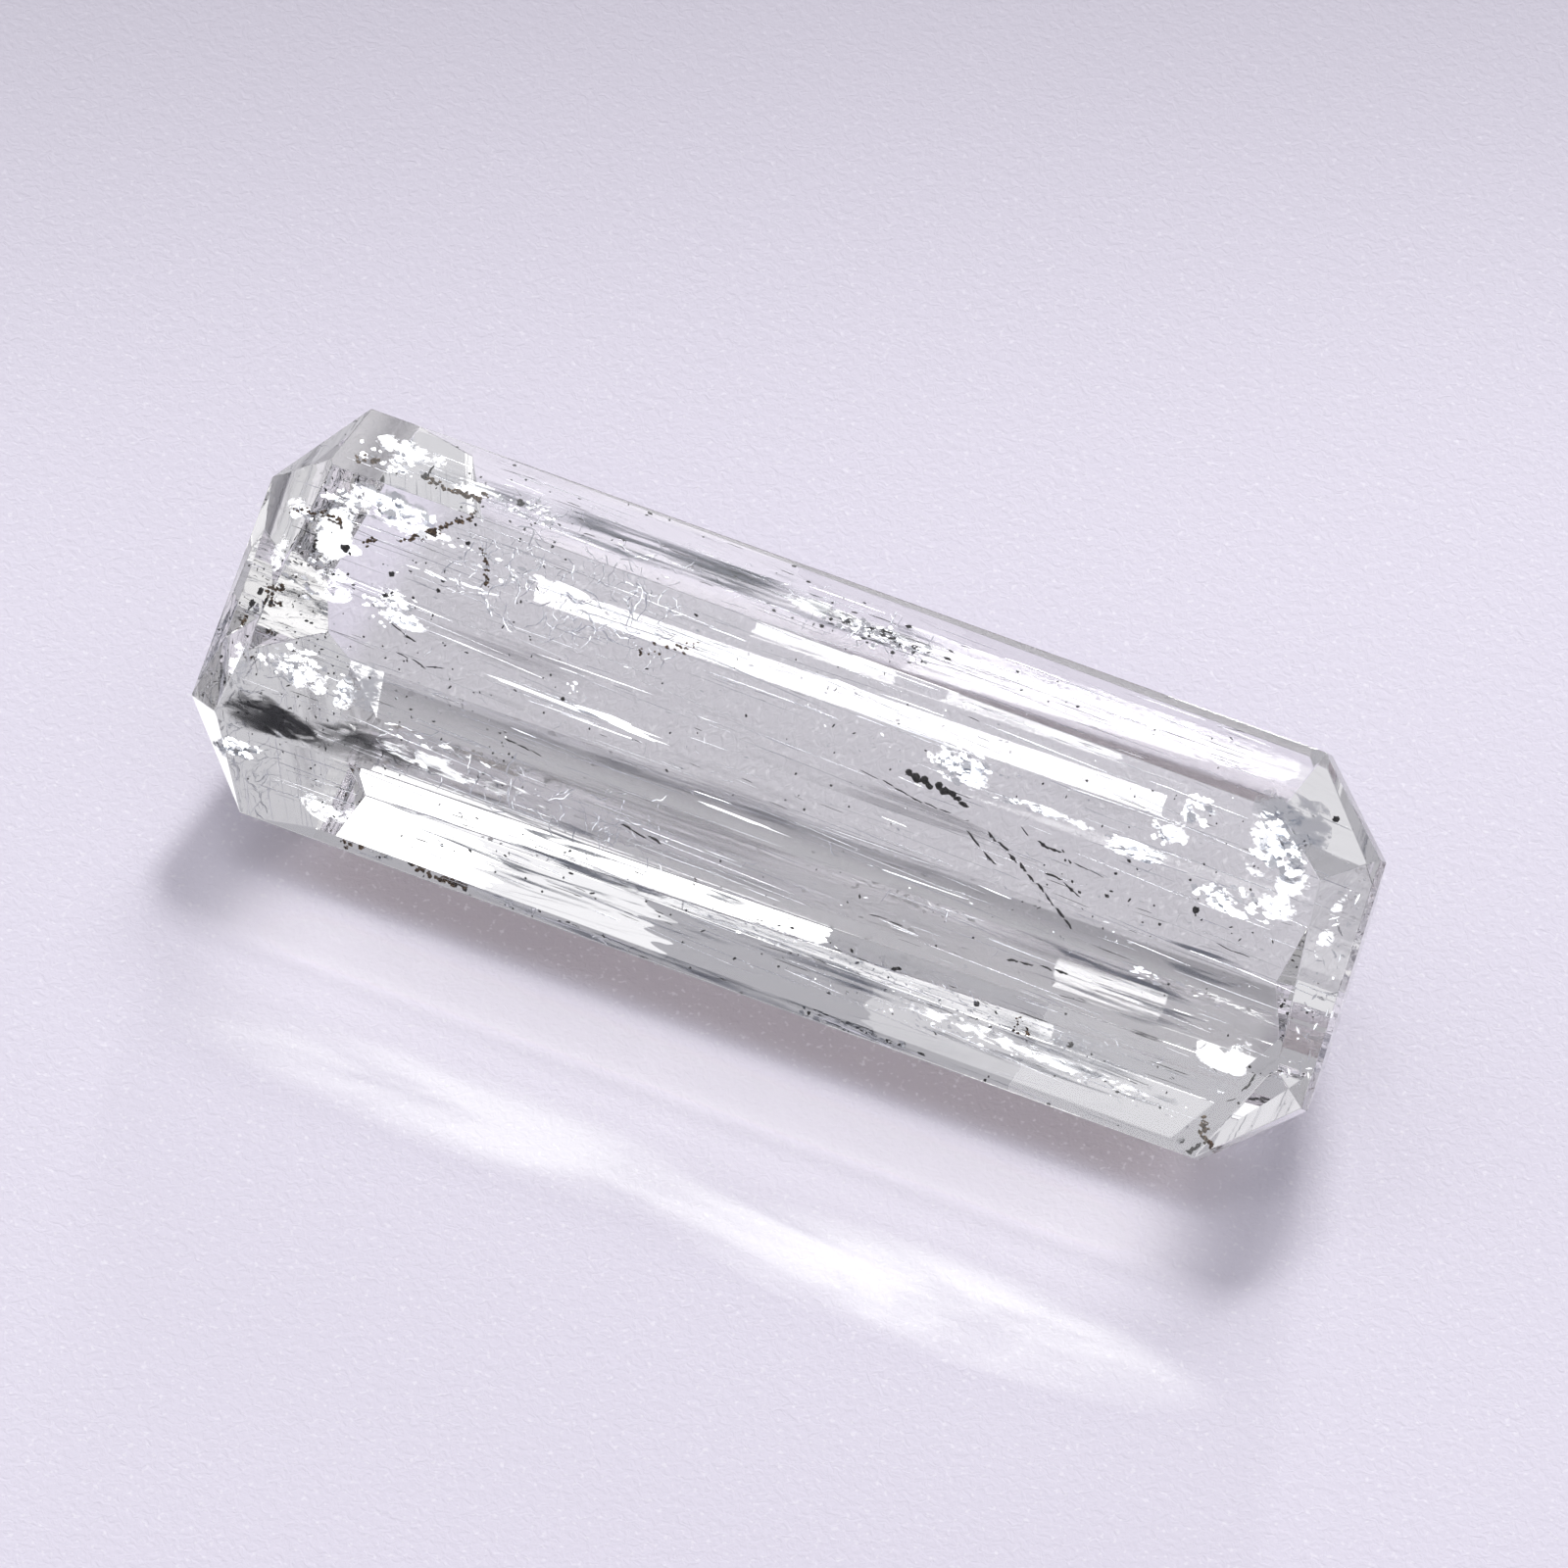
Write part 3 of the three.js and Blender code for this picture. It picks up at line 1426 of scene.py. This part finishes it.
# the peppering of dark specks
SPECKS: tuple[Scatter, ...] = (
    Scatter(130, (-9.2, 9.0, -2.2, 2.2), (0.15, 1.4), (0.010, 0.040), (0.008, 0.022), spin=90),
    Scatter(110, (-9.0, -4.0, -2.2, 2.4), (0.12, 0.9), (0.010, 0.036), (0.009, 0.020), spin=90),
    Scatter(70, (-8.5, 8.0, -3.2, -2.3), (0.30, 1.0), (0.010, 0.045), (0.010, 0.024), spin=40),
    Scatter(60, (-8.5, 7.0, 2.3, 3.0), (0.40, 1.0), (0.010, 0.040), (0.009, 0.022), spin=40),
    Scatter(34, (-0.2, 2.2, 2.3, 3.0), (0.35, 0.7), (0.020, 0.070), (0.012, 0.030), spin=20),
    Scatter(26, (5.0, 8.8, -0.5, 1.9), (0.20, 0.8), (0.012, 0.045), (0.010, 0.026), spin=60),
)

# rusty, crumbly chains
RUST_CHAINS: tuple[Chain, ...] = (
    Chain(
        34, (0.014, 0.036), 0.025,
        ((-7.3, 1.48, 0.3), (-6.95, 1.72, 0.3), (-6.6, 1.98, 0.3), (-6.25, 2.25, 0.35)),
    ),
    Chain(
        30, (0.014, 0.036), 0.03,
        ((-7.3, 2.50, 0.5), (-6.8, 2.46, 0.45), (-6.5, 2.45, 0.45), (-6.2, 2.6, 0.5)),
    ),
    Chain(10, (0.015, 0.035), 0.05, ((-8.6, 2.42, 0.5), (-8.2, 2.50, 0.5))),
    Chain(20, (0.010, 0.024), 0.02, ((-5.9, 1.78, 0.3), (-5.75, 1.5, 0.3), (-5.65, 1.2, 0.3))),
    Chain(18, (0.012, 0.032), 0.03, ((-9.3, 1.28, 0.5), (-8.9, 1.42, 0.35), (-8.35, 1.5, 0.3))),
    Chain(9, (0.015, 0.032), 0.03, ((-7.9, 1.22, 0.3), (-7.7, 1.34, 0.3))),
    Chain(
        16, (0.012, 0.03), 0.02,
        ((-8.95, 0.10, 0.35), (-9.15, 0.02, 0.4), (-9.1, -0.22, 0.4), (-8.9, -0.18, 0.4)),
    ),
    Chain(14, (0.014, 0.034), 0.03, ((8.65, -2.95, 0.85), (8.75, -3.3, 1.0))),
    Chain(22, (0.010, 0.022), 0.05, ((-2.9, 1.05, 0.3), (-2.3, 1.3, 0.3), (-1.9, 1.45, 0.3))),
    Chain(12, (0.012, 0.028), 0.05, ((5.2, -2.45, 0.45), (5.5, -2.75, 0.5))),
)

# dark needles laid end to end
THREADS: tuple[Thread, ...] = (
    Thread(0.008, 0.3, ((1.33, 0.42, 0.4), (1.75, 0.44, 0.4), (2.3, 0.33, 0.4), (3.1, 0.29, 0.4))),
    Thread(0.015, 0.3, ((3.4, 0.13, 0.4), (3.75, -0.08, 0.4), (4.1, -0.27, 0.4))),
    Thread(
        0.016, 0.45,
        ((3.72, 0.2, 0.4), (4.2, 0.01, 0.4), (4.6, -0.2, 0.4), (5.0, -0.41, 0.4), (5.66, -0.83, 0.4)),
    ),
    Thread(0.015, 0.3, ((4.85, -0.08, 0.4), (5.2, -0.13, 0.4), (5.6, -0.3, 0.4))),
    Thread(0.014, 0.6, ((4.25, 0.45, 0.35), (4.45, 0.38, 0.35))),
    Thread(0.013, 0.3, ((4.6, 0.33, 0.35), (5.05, 0.27, 0.35))),
    Thread(0.008, 0.0, ((5.3, 0.22, 0.35), (5.85, 0.15, 0.35))),
    Thread(0.010, 0.0, ((2.33, -1.68, 0.35), (2.95, -1.7, 0.35))),
    Thread(0.013, 0.2, ((4.75, -1.62, 0.35), (5.2, -1.58, 0.35))),
    Thread(0.013, 0.2, ((5.3, -1.54, 0.35), (5.85, -1.54, 0.35))),
    Thread(0.008, 0.0, ((8.0, -0.26, 0.35), (8.6, -0.26, 0.35))),
    Thread(0.008, 0.4, ((-6.8, -0.27, 0.35), (-6.2, -0.35, 0.35), (-5.9, -0.25, 0.35))),
    Thread(0.011, 0.4, ((-4.55, -1.0, 0.35), (-3.8, -1.08, 0.35))),
    Thread(0.016, 0.0, ((-2.2, -1.68, 0.3), (-1.4, -1.75, 0.3))),
    Thread(0.010, 0.0, ((-7.05, 0.15, 0.3), (-6.5, -0.02, 0.3))),
    Thread(0.012, 0.5, ((0.6, 2.62, 0.45), (1.1, 2.7, 0.5))),
    Thread(0.012, 0.0, ((-7.3, 2.50, 0.45), (-7.28, 2.80, 0.55))),
)

# stray dark needles: under the table, the near crown and the far crown
FINE_NEEDLES: tuple[Scatter, ...] = (
    Scatter(60, (-9.0, 9.0, -2.1, 2.2), (0.2, 1.6), (0.15, 0.8), (0.003, 0.008)),
    Scatter(50, (-7.0, 8.0, -3.1, -2.3), (0.3, 0.9), (0.15, 0.9), (0.004, 0.010)),
    Scatter(40, (-5.5, 2.5, 2.35, 3.0), (0.35, 0.8), (0.15, 0.8), (0.004, 0.010)),
)

# silvery flakes, seen through the table and the left crown
TABLE_PATCHES: tuple[Patch, ...] = (
    Patch((-7.75, 1.85, 0.12), (1.00, 0.30), 36, (0.02, 0.09)),
    Patch((-9.00, 1.28, 0.30), (0.30, 0.16), 16, (0.02, 0.07), LEFT_LUSTRE),
    Patch((-8.50, 0.45, 0.12), (0.50, 0.40), 34, (0.015, 0.045), tilt=4.0),
    Patch((-7.15, 0.30, 0.12), (0.50, 0.26), 34, (0.015, 0.06)),
    Patch((-8.35, -1.02, 0.12), (0.65, 0.26), 40, (0.02, 0.07)),
    Patch((-7.45, -1.20, 0.12), (0.15, 0.30), 18, (0.02, 0.05)),
    Patch((-5.80, 1.55, 0.12), (0.95, 0.20), 24, (0.012, 0.04), tilt=3.0, stretch=2.4),
    Patch((-5.90, 1.13, 0.12), (1.10, 0.03), 16, (0.012, 0.02), tilt=1.5, stretch=8.0),
    Patch((8.55, 1.75, 0.14), (0.55, 0.60), 70, (0.02, 0.10)),
    Patch((8.20, 0.52, 0.14), (0.85, 0.24), 40, (0.02, 0.07)),
    Patch((6.20, 0.74, 0.12), (0.52, 0.18), 30, (0.012, 0.035), tilt=2.0, stretch=4.0),
    Patch((6.98, 1.72, 0.12), (0.28, 0.30), 12, (0.03, 0.08)),
    Patch((2.95, 1.08, 0.12), (0.60, 0.30), 40, (0.015, 0.07)),
    Patch((4.25, 0.82, 0.12), (0.80, 0.08), 22, (0.012, 0.03), tilt=2.5, stretch=3.0),
    Patch((6.55, 1.15, 0.12), (0.25, 0.25), 12, (0.02, 0.06)),
    Patch((7.20, -1.10, 0.12), (0.90, 0.10), 16, (0.01, 0.03), tilt=2.0, stretch=4.0),
    Patch((-3.60, 0.15, 0.12), (0.20, 0.12), 9, (0.01, 0.028)),
    Patch((-5.60, -1.48, 0.12), (1.30, 0.10), 14, (0.01, 0.03), tilt=2.0, stretch=5.0),
)

# single long flakes: place, and half length and half width
LONG_FLAKES: tuple[tuple[Triple, Span], ...] = (
    ((-3.95, -0.15, 0.25), (1.60, 0.030)),
    ((-2.90, -0.13, 0.22), (0.85, 0.060)),
    ((-2.45, -0.20, 0.24), (0.60, 0.035)),
    ((-0.30, -0.92, 0.22), (0.95, 0.022)),
)

# silvery flakes, seen through the near and the far crown
CROWN_PATCHES: tuple[Patch, ...] = (
    Patch((5.20, -2.90, 0.45), (2.90, 0.22), 56, (0.010, 0.028), NEAR_LUSTRE, 3.0, 2.0),
    Patch((-8.90, -2.62, 0.45), (0.40, 0.14), 20, (0.03, 0.08), NEAR_LUSTRE),
    Patch((3.50, -2.55, 0.35), (4.50, 0.18), 70, (0.008, 0.025), NEAR_LUSTRE, 6.0, 2.0),
    Patch((0.80, 2.62, 0.40), (0.95, 0.32), 80, (0.012, 0.045), FAR_LUSTRE, 4.0),
    Patch((-5.40, 2.60, 0.40), (0.70, 0.20), 40, (0.012, 0.04), FAR_LUSTRE, 4.0),
    Patch((-7.90, 2.62, 0.40), (0.80, 0.26), 44, (0.02, 0.07), FAR_LUSTRE, 3.0),
)

# stray silvery crumbs
FLAKE_SPECKS: tuple[Scatter, ...] = (
    Scatter(
        240, (0.5, 8.4, -3.15, -2.35), (0.35, 0.8), (0.008, 0.05), (0.006, 0.018), NEAR_LUSTRE, 7.0, 20.0
    ),
    Scatter(60, (9.45, 9.95, -2.0, 1.6), (0.60, 0.8), (0.02, 0.12), (0.008, 0.03), RIGHT_LUSTRE, 6.0, 90.0),
    Scatter(260, (-9.1, 9.0, -2.1, 2.1), (0.1, 1.2), (0.01, 0.06), (0.008, 0.022), TABLE_LUSTRE, 6.0, 30.0),
)

# crackled films, roughly from the left end to the right
CRACKLED_PLATES: tuple[Plate, ...] = (
    Plate((-8.05, 1.92, 0.34), (1.30, 0.56)),
    Plate((-7.25, 1.76, 0.32), (1.50, 0.44)),
    Plate((-7.75, 2.02, 0.42), (1.50, 0.36)),
    Plate((-9.15, 1.40, 0.55), (0.55, 0.36), LEFT_LUSTRE),
    Plate((-9.20, 0.60, 0.55), (0.36, 0.70), LEFT_LUSTRE),
    Plate((-9.25, -1.20, 0.60), (0.36, 0.90), LEFT_LUSTRE),
    Plate((-8.42, 1.06, 0.32), (1.10, 0.26)),
    Plate((-8.45, 1.42, 0.50), (0.90, 0.50)),
    Plate((-8.15, 0.40, 0.30), (0.85, 0.55)),
    Plate((-7.20, 0.50, 0.30), (0.70, 0.44)),
    Plate((-6.80, 0.26, 0.34), (0.90, 0.30)),
    Plate((-8.45, -1.00, 0.32), (0.90, 0.46)),
    Plate((-8.05, -1.22, 0.36), (0.80, 0.40)),
    Plate((-7.35, -1.20, 0.30), (0.42, 0.62)),
    Plate((-8.90, -2.62, 0.66), (0.60, 0.30), NEAR_LUSTRE),
    Plate((-7.00, -3.05, 0.55), (1.15, 0.50), NEAR_LUSTRE),
    Plate((-7.75, 2.85, 0.60), (1.30, 0.44), FAR_LUSTRE),
    Plate((-6.40, 2.60, 0.55), (1.20, 0.30), FAR_LUSTRE),
    Plate((-4.50, 1.62, 0.30), (1.30, 0.18)),
    Plate((1.00, 2.55, 0.62), (1.70, 0.34), FAR_LUSTRE),
    Plate((-0.20, 2.62, 0.66), (1.40, 0.30), FAR_LUSTRE),
    Plate((2.80, 1.14, 0.32), (0.90, 0.50)),
    Plate((3.15, 0.98, 0.36), (0.80, 0.50)),
    Plate((6.75, 1.20, 0.32), (0.50, 0.50)),
    Plate((6.95, 1.62, 0.34), (0.46, 0.60)),
    Plate((8.35, 2.05, 0.44), (1.10, 0.80)),
    Plate((8.60, 1.50, 0.40), (0.85, 0.70)),
    Plate((8.75, 1.80, 0.48), (0.80, 1.30)),
    Plate((8.20, 1.50, 0.52), (0.70, 1.10)),
    Plate((8.85, 1.05, 0.46), (0.60, 0.80)),
    Plate((6.25, 0.74, 0.30), (1.20, 0.30)),
    Plate((8.00, 0.44, 0.34), (1.20, 0.36)),
    Plate((8.60, 0.60, 0.38), (1.10, 0.46)),
    Plate((4.80, 0.84, 0.30), (1.60, 0.16)),
    Plate((8.95, -1.75, 0.40), (0.45, 0.50)),
    Plate((-7.05, -0.98, 0.30), (0.80, 0.85), Lie(3.0, 0.0)),
)

# nearly unbroken films at the two ends
BRIGHT_PLATES: tuple[Plate, ...] = (
    Plate((-8.45, 1.18, 0.42), (0.72, 1.00)),
    Plate((8.70, -2.02, 0.50), (0.90, 0.26)),
)

# long films broken into ripples
RIPPLED_PLATES: tuple[Plate, ...] = (
    Plate((9.46, 0.60, 0.80), (0.30, 1.20), RIGHT_LUSTRE),
    Plate((5.40, -2.88, 0.55), (4.60, 0.24), NEAR_LUSTRE),
    Plate((-5.00, -1.80, 0.34), (3.60, 0.30)),
)

# growth tubes: under the table, the near crown and the far crown
TUBES: tuple[Scatter, ...] = (
    Scatter(380, (-9.0, 9.0, -2.2, 2.2), (0.12, 2.2), (0.4, 3.2), (0.003, 0.009), TABLE_LUSTRE, 3.0, 2.0),
    Scatter(110, (-8.6, 8.2, -3.2, -2.3), (0.30, 1.2), (0.4, 2.6), (0.004, 0.010), NEAR_LUSTRE, 3.0, 2.0),
    Scatter(90, (-8.4, 7.4, 2.3, 3.0), (0.40, 1.2), (0.4, 2.4), (0.004, 0.010), FAR_LUSTRE, 3.0, 2.0),
)

# squiggles of healed cracks
SQUIGGLES: tuple[Scatter, ...] = (
    Scatter(200, (-6.4, -2.4, 1.0, 2.15), (0.15, 0.6), (0.15, 0.6), (0.7, 1.3), TABLE_LUSTRE, 3.0, 180),
    Scatter(20, (-4.5, -3.8, 0.8, 1.25), (0.15, 0.5), (0.15, 0.45), (0.6, 1.1), TABLE_LUSTRE, 3.0, 180),
    Scatter(110, (-6.5, -2.2, -2.1, -1.4), (0.15, 0.5), (0.15, 0.65), (0.6, 1.1), TABLE_LUSTRE, 3.0, 120),
    Scatter(50, (-6.2, -4.6, 2.35, 2.75), (0.4, 0.7), (0.12, 0.45), (0.6, 1.1), FAR_LUSTRE, 3.0, 180),
    Scatter(60, (-2.6, -1.2, -2.3, -1.1), (0.25, 0.5), (0.12, 0.45), (0.6, 1.1), TABLE_LUSTRE, 3.0, 180),
    Scatter(90, (-0.6, 1.9, 2.3, 3.0), (0.4, 0.8), (0.12, 0.45), (0.6, 1.1), FAR_LUSTRE, 3.0, 180),
    Scatter(60, (-4.5, -0.5, 2.3, 3.0), (0.4, 0.8), (0.12, 0.5), (0.6, 1.1), FAR_LUSTRE, 3.0, 60),
    Scatter(90, (-9.0, 9.0, -2.0, 2.0), (0.15, 1.0), (0.1, 0.35), (0.6, 1.1), TABLE_LUSTRE, 4.0, 180),
    Scatter(80, (2.0, 8.0, -3.1, -2.3), (0.4, 0.8), (0.12, 0.4), (0.6, 1.1), NEAR_LUSTRE, 4.0, 60),
)

# milky growth layers
MILKY_PLATES: tuple[Plate, ...] = (
    Plate((-5.4, 0.30, 0.40), (5.6, 0.50), LEVEL),
    Plate((-2.0, -0.45, 0.36), (6.6, 0.40), LEVEL),
    Plate((1.6, 0.15, 0.42), (5.0, 0.34), LEVEL),
    Plate((5.2, -1.15, 0.36), (5.6, 0.50), LEVEL),
    Plate((-1.5, -1.35, 0.40), (6.2, 0.46), LEVEL),
    Plate((5.0, 1.25, 0.38), (4.4, 0.34), LEVEL),
)

# dark grey streaks
ASHY_PLATES: tuple[Plate, ...] = (
    Plate((-3.40, -2.86, 0.55), (8.40, 0.80), Lie(-4.0, 0.0, 2.0)),
    Plate((5.00, -2.90, 0.55), (6.60, 0.60), Lie(-4.0)),
    Plate((-3.00, 2.66, 0.60), (7.00, 0.50), Lie(8.0)),
    Plate((-0.80, 2.72, 0.66), (5.20, 0.56), Lie(8.0)),
    Plate((-2.40, -2.14, 0.30), (8.60, 0.40), LEVEL),
    Plate((6.00, -1.50, 0.32), (4.60, 0.90), LEVEL),
    Plate((7.90, -0.60, 0.35), (1.80, 0.60), LEVEL),
)

# finer, paler grey streaks
GREY_PLATES: tuple[Plate, ...] = (
    Plate((-4.20, 2.62, 0.56), (6.60, 0.60), Lie(8.0)),
    Plate((-0.40, 2.62, 0.62), (5.60, 0.52), Lie(8.0)),
    Plate((3.40, -2.66, 0.50), (8.60, 0.50), Lie(-4.0)),
)

# the smoky zone by the near left edge
SMOKY_PLATES: tuple[Plate, ...] = (
    Plate((-8.72, -1.98, 0.22), (1.15, 0.66), LEVEL),
    Plate((-8.40, -2.02, 0.32), (1.80, 0.50), LEVEL),
    Plate((-7.30, -2.00, 0.28), (3.00, 0.46), LEVEL),
    Plate((-5.60, -1.72, 0.26), (3.60, 0.46), LEVEL),
    Plate((-6.30, -1.84, 0.31), (2.80, 0.34), LEVEL),
    Plate((-8.70, -0.04, 0.34), (1.10, 0.36), LEVEL),
)

# pieces made of thin plates: name, finish, seed and plates
PlatedPiece = tuple[str, Finish, int, tuple[Plate, ...]]
FILMS: tuple[PlatedPiece, ...] = (
    ("crackled_films", FrostFinish(), 18, CRACKLED_PLATES),
    ("bright_films", BRIGHT, 21, BRIGHT_PLATES),
    ("rippled_films", RIPPLED, 19, RIPPLED_PLATES),
)
VEILS: tuple[PlatedPiece, ...] = (
    ("milky_veils", MILK, 16, MILKY_PLATES),
    ("ashy_streaks", ASH, 20, ASHY_PLATES),
    ("grey_streaks", HAZE, 22, GREY_PLATES),
    ("smoky_zone", SMOKE, 17, SMOKY_PLATES),
)


@dataclass
class SealedIn:
    """Everything that is sealed in the crystal."""

    inside: Inside
    templates: Templates = field(default_factory=Templates)

    def deposit(self, name: str, finish: Finish, seed: int) -> Deposit:
        """Starts an empty deposit."""
        return Deposit(name, finish, self.inside, self.templates, seed)

    def black_grains(self) -> None:
        """Makes the black dots, the row of dark lumps and the peppering of specks."""
        d = self.deposit("black_grains", BLACK_GRAIN, 11)
        for place, radius in BLACK_DOTS:
            size = (radius * DOT_LONG, radius, radius * DOT_FLAT)
            d.add(Habit.GRAIN, place, size, Lie(spin=d.draw.uniform(*DOT_SPIN)))
        for along, across, long, wide in DARK_LUMPS:
            lie = Lie(spin=LUMP_HEADING + d.draw.gauss(0, LUMP_SPIN))
            d.add(Habit.GRAIN, (along, across, LUMP_DEPTH), (long, wide, LUMP_THICKNESS), lie)
        for row in SPECKS:
            d.strew(Habit.GRAIN, row)
        d.build()

    def rusty_grains(self) -> None:
        """Makes the rusty, crumbly chains."""
        d = self.deposit("rusty_grains", RUST_GRAIN, 12)
        for row in RUST_CHAINS:
            d.chain(row)
        d.build()

    def dark_needles(self) -> None:
        """Makes the dark needles of the right half and the fine dark lines elsewhere."""
        d = self.deposit("dark_needles", BLACK_GRAIN, 13)
        for thread in THREADS:
            d.thread(thread)
        for row in FINE_NEEDLES:
            d.strew(Habit.NEEDLE, row)
        d.build()

    def silver_films(self) -> None:
        """Makes the bright flakes of gas film that catch the light."""
        d = self.deposit("silver_films", FilmFinish(), 14)
        for patch in TABLE_PATCHES:
            d.patch(patch)
        for place, (long, wide) in LONG_FLAKES:
            d.add(Habit.FLAKE, place, (long, wide, d.flake_thickness), TABLE_LUSTRE)
        for patch in CROWN_PATCHES:
            d.patch(patch)
        for row in FLAKE_SPECKS:
            d.strew(Habit.FLAKE, row)
        d.build()

    def films_and_veils(self, rows: tuple[PlatedPiece, ...], thickness: float) -> None:
        """Makes pieces of thin plates.

        Args:
            rows: each piece's name, finish, seed and plates.
            thickness: the plates' thickness in millimetres.
        """
        for name, finish, seed, plates in rows:
            d = self.deposit(name, finish, seed)
            d.plates(plates, thickness)
            d.build()

    def growth_tubes(self) -> None:
        """Makes the fine, hollow tubes along the crystal and the squiggles of healed cracks."""
        d = self.deposit("growth_tubes", TUBE_WALL, 15)
        for row in TUBES:
            d.strew(Habit.NEEDLE, row, TUBE_FLATNESS)
        for row in SQUIGGLES:
            d.strew(Habit.WORM, row, SQUIGGLE_FLATNESS)
        d.build()

    def build(self) -> None:
        """Makes every deposit and clears the templates away."""
        self.black_grains()
        self.rusty_grains()
        self.dark_needles()
        self.silver_films()
        self.films_and_veils(FILMS, FILM_THICKNESS)
        self.growth_tubes()
        self.films_and_veils(VEILS, VEIL_THICKNESS)
        self.templates.clear()


# ---------------------------------------------------------------- studio


@dataclass(frozen=True)
class Card:
    """One soft light: where it hangs and how big it looks in degrees, and how bright it looks."""

    name: str
    azimuth: float
    elevation: float
    wide: float
    tall: float
    radiance: float


CARDS = [
    Card("key", 188.0, 46.0, 10.0, 10.0, 47.0),
    Card("strip", 184.0, 35.0, 16.4, 7.0, 23.0),
    Card("back_window", 194.2, 17.5, 1.85, 8.0, 90.0),
    Card("back_slit_left", 196.75, 29.8, 0.70, 3.4, 36.0),
    Card("back_slit_right", 195.60, 29.8, 0.85, 3.4, 36.0),
    Card("front_slit", -14.75, 4.4, 3.0, 3.0, 32.0),
    Card("front_low", -14.82, 1.3, 0.50, 1.8, 2.8),
    Card("front_high", -15.7, 24.0, 1.6, 2.6, 2.0),
    Card("front_window", -19.5, 16.5, 5.3, 5.0, 2.1),
    Card("left_window", 222.4, 56.5, 9.0, 13.0, 1.5),
    Card("left_window_soft", 220.8, 56.5, 8.6, 11.0, 0.55),
    Card("back_sky", 206.6, 57.0, 4.9, 12.0, 0.22),
    Card("right_wall", 63.0, 29.0, 42.0, 26.0, 0.17),
    Card("right_wall_low", 66.0, 8.0, 52.0, 15.0, 0.50),
    Card("right_back", 126.0, 9.0, 30.0, 18.0, 0.70),
    Card("left_wall", -95.0, 46.0, 36.0, 34.0, 0.36),
    Card("front_horizon", -26.6, 2.0, 10.0, 6.0, 0.35),
    Card("left_front", -29.2, 20.6, 7.0, 7.0, 0.70),
    Card("back_top", 189.7, 66.7, 8.0, 9.0, 0.5),
    Card("overhead", 0.0, 88.0, 20.0, 20.0, 2.0),
]


@dataclass
class Studio:
    """Floor, lights and camera, with angles in degrees and lengths in metres."""

    elevation: float = 48.4
    azimuth: float = 25.6
    distance: float = 0.270
    frame_width: float = 25.56 * MM
    aim: Triple = (-0.105 * MM, -0.156 * MM, 3.071 * MM)
    sensor: float = 36.0  # millimetres, as the lens
    clip: Span = (0.01, 10.0)
    floor_size: float = 4.0
    floor_gap: float = 0.02 * MM
    light_distance: float = 0.9
    sky: Colour = (0.93, 0.92, 1.0, 1.0)
    sky_strength: float = 0.48
    diffuse_bounces: int = 2
    glossy_bounces: int = 14
    transmission_bounces: int = 10
    transparent_bounces: int = 12
    max_bounces: int = 16

    @staticmethod
    def direction(azimuth: float, elevation: float) -> Vector:
        """Returns the unit vector towards a view azimuth and elevation in degrees."""
        a, e = math.radians(azimuth), math.radians(elevation)
        return Vector((math.sin(a) * math.cos(e), -math.cos(a) * math.cos(e), math.sin(e)))

    def camera(self) -> None:
        """Sets up the camera."""
        data = bpy.data.cameras.new("camera")
        data.sensor_width = self.sensor
        data.lens = self.sensor * self.distance / self.frame_width
        data.clip_start, data.clip_end = self.clip
        cam = bpy.data.objects.new("camera", data)
        bpy.context.scene.collection.objects.link(cam)
        back = self.direction(self.azimuth, self.elevation)
        cam.location = Vector(self.aim) + back * self.distance
        cam.rotation_mode = "QUATERNION"
        cam.rotation_quaternion = (-back).to_track_quat("-Z", "Y")
        bpy.context.scene.camera = cam

    def floor(self) -> None:
        """Lays the floor, a hair below the resting facet."""
        bpy.ops.object.select_all(action="DESELECT")
        bpy.ops.mesh.primitive_plane_add(size=self.floor_size)
        floor = bpy.context.active_object
        floor.name = "bed"
        floor.location.z = -self.floor_gap
        floor.data.materials.append(BedFinish().material())

    def hang(self, card: Card) -> None:
        """Hangs one soft light.

        Args:
            card: where it hangs and how bright it looks.
        """
        data = bpy.data.lights.new(card.name, "AREA")
        data.shape = "RECTANGLE"
        data.size, data.size_y = (
            2 * self.light_distance * math.tan(math.radians(angle / 2)) for angle in (card.wide, card.tall)
        )
        data.energy = card.radiance * math.pi * data.size * data.size_y
        lamp = bpy.data.objects.new(card.name, data)
        bpy.context.scene.collection.objects.link(lamp)
        out = self.direction(card.azimuth, card.elevation)
        lamp.location = out * self.light_distance
        lamp.rotation_mode = "QUATERNION"
        lamp.rotation_quaternion = out.to_track_quat("Z", "Y")
        lamp.visible_camera = False

    def world(self) -> None:
        """Sets the soft surrounding light."""
        world = bpy.data.worlds.new("surroundings")
        world.use_nodes = True
        shade = world.node_tree.nodes["Background"]
        shade.inputs["Color"].default_value = self.sky
        shade.inputs["Strength"].default_value = self.sky_strength
        bpy.context.scene.world = world

    def light_paths(self) -> None:
        """Lets light bounce often enough for total reflection inside the stone."""
        cycles = bpy.context.scene.cycles
        cycles.diffuse_bounces = self.diffuse_bounces
        cycles.glossy_bounces = self.glossy_bounces
        cycles.transmission_bounces = self.transmission_bounces
        cycles.transparent_max_bounces = self.transparent_bounces
        cycles.max_bounces = self.max_bounces

    def build(self) -> None:
        """Builds the whole studio."""
        self.camera()
        self.floor()
        self.world()
        for card in CARDS:
            self.hang(card)
        self.light_paths()
        bpy.context.scene.view_settings.view_transform = "Standard"


def main() -> None:
    """Builds the scene in order."""
    logging.basicConfig(level=logging.INFO, format="%(name)s: %(message)s")
    Studio().build()
    inside = CutStone().build()
    SealedIn(inside).build()
    log.info("built")


if __name__ == "__main__":
    main()
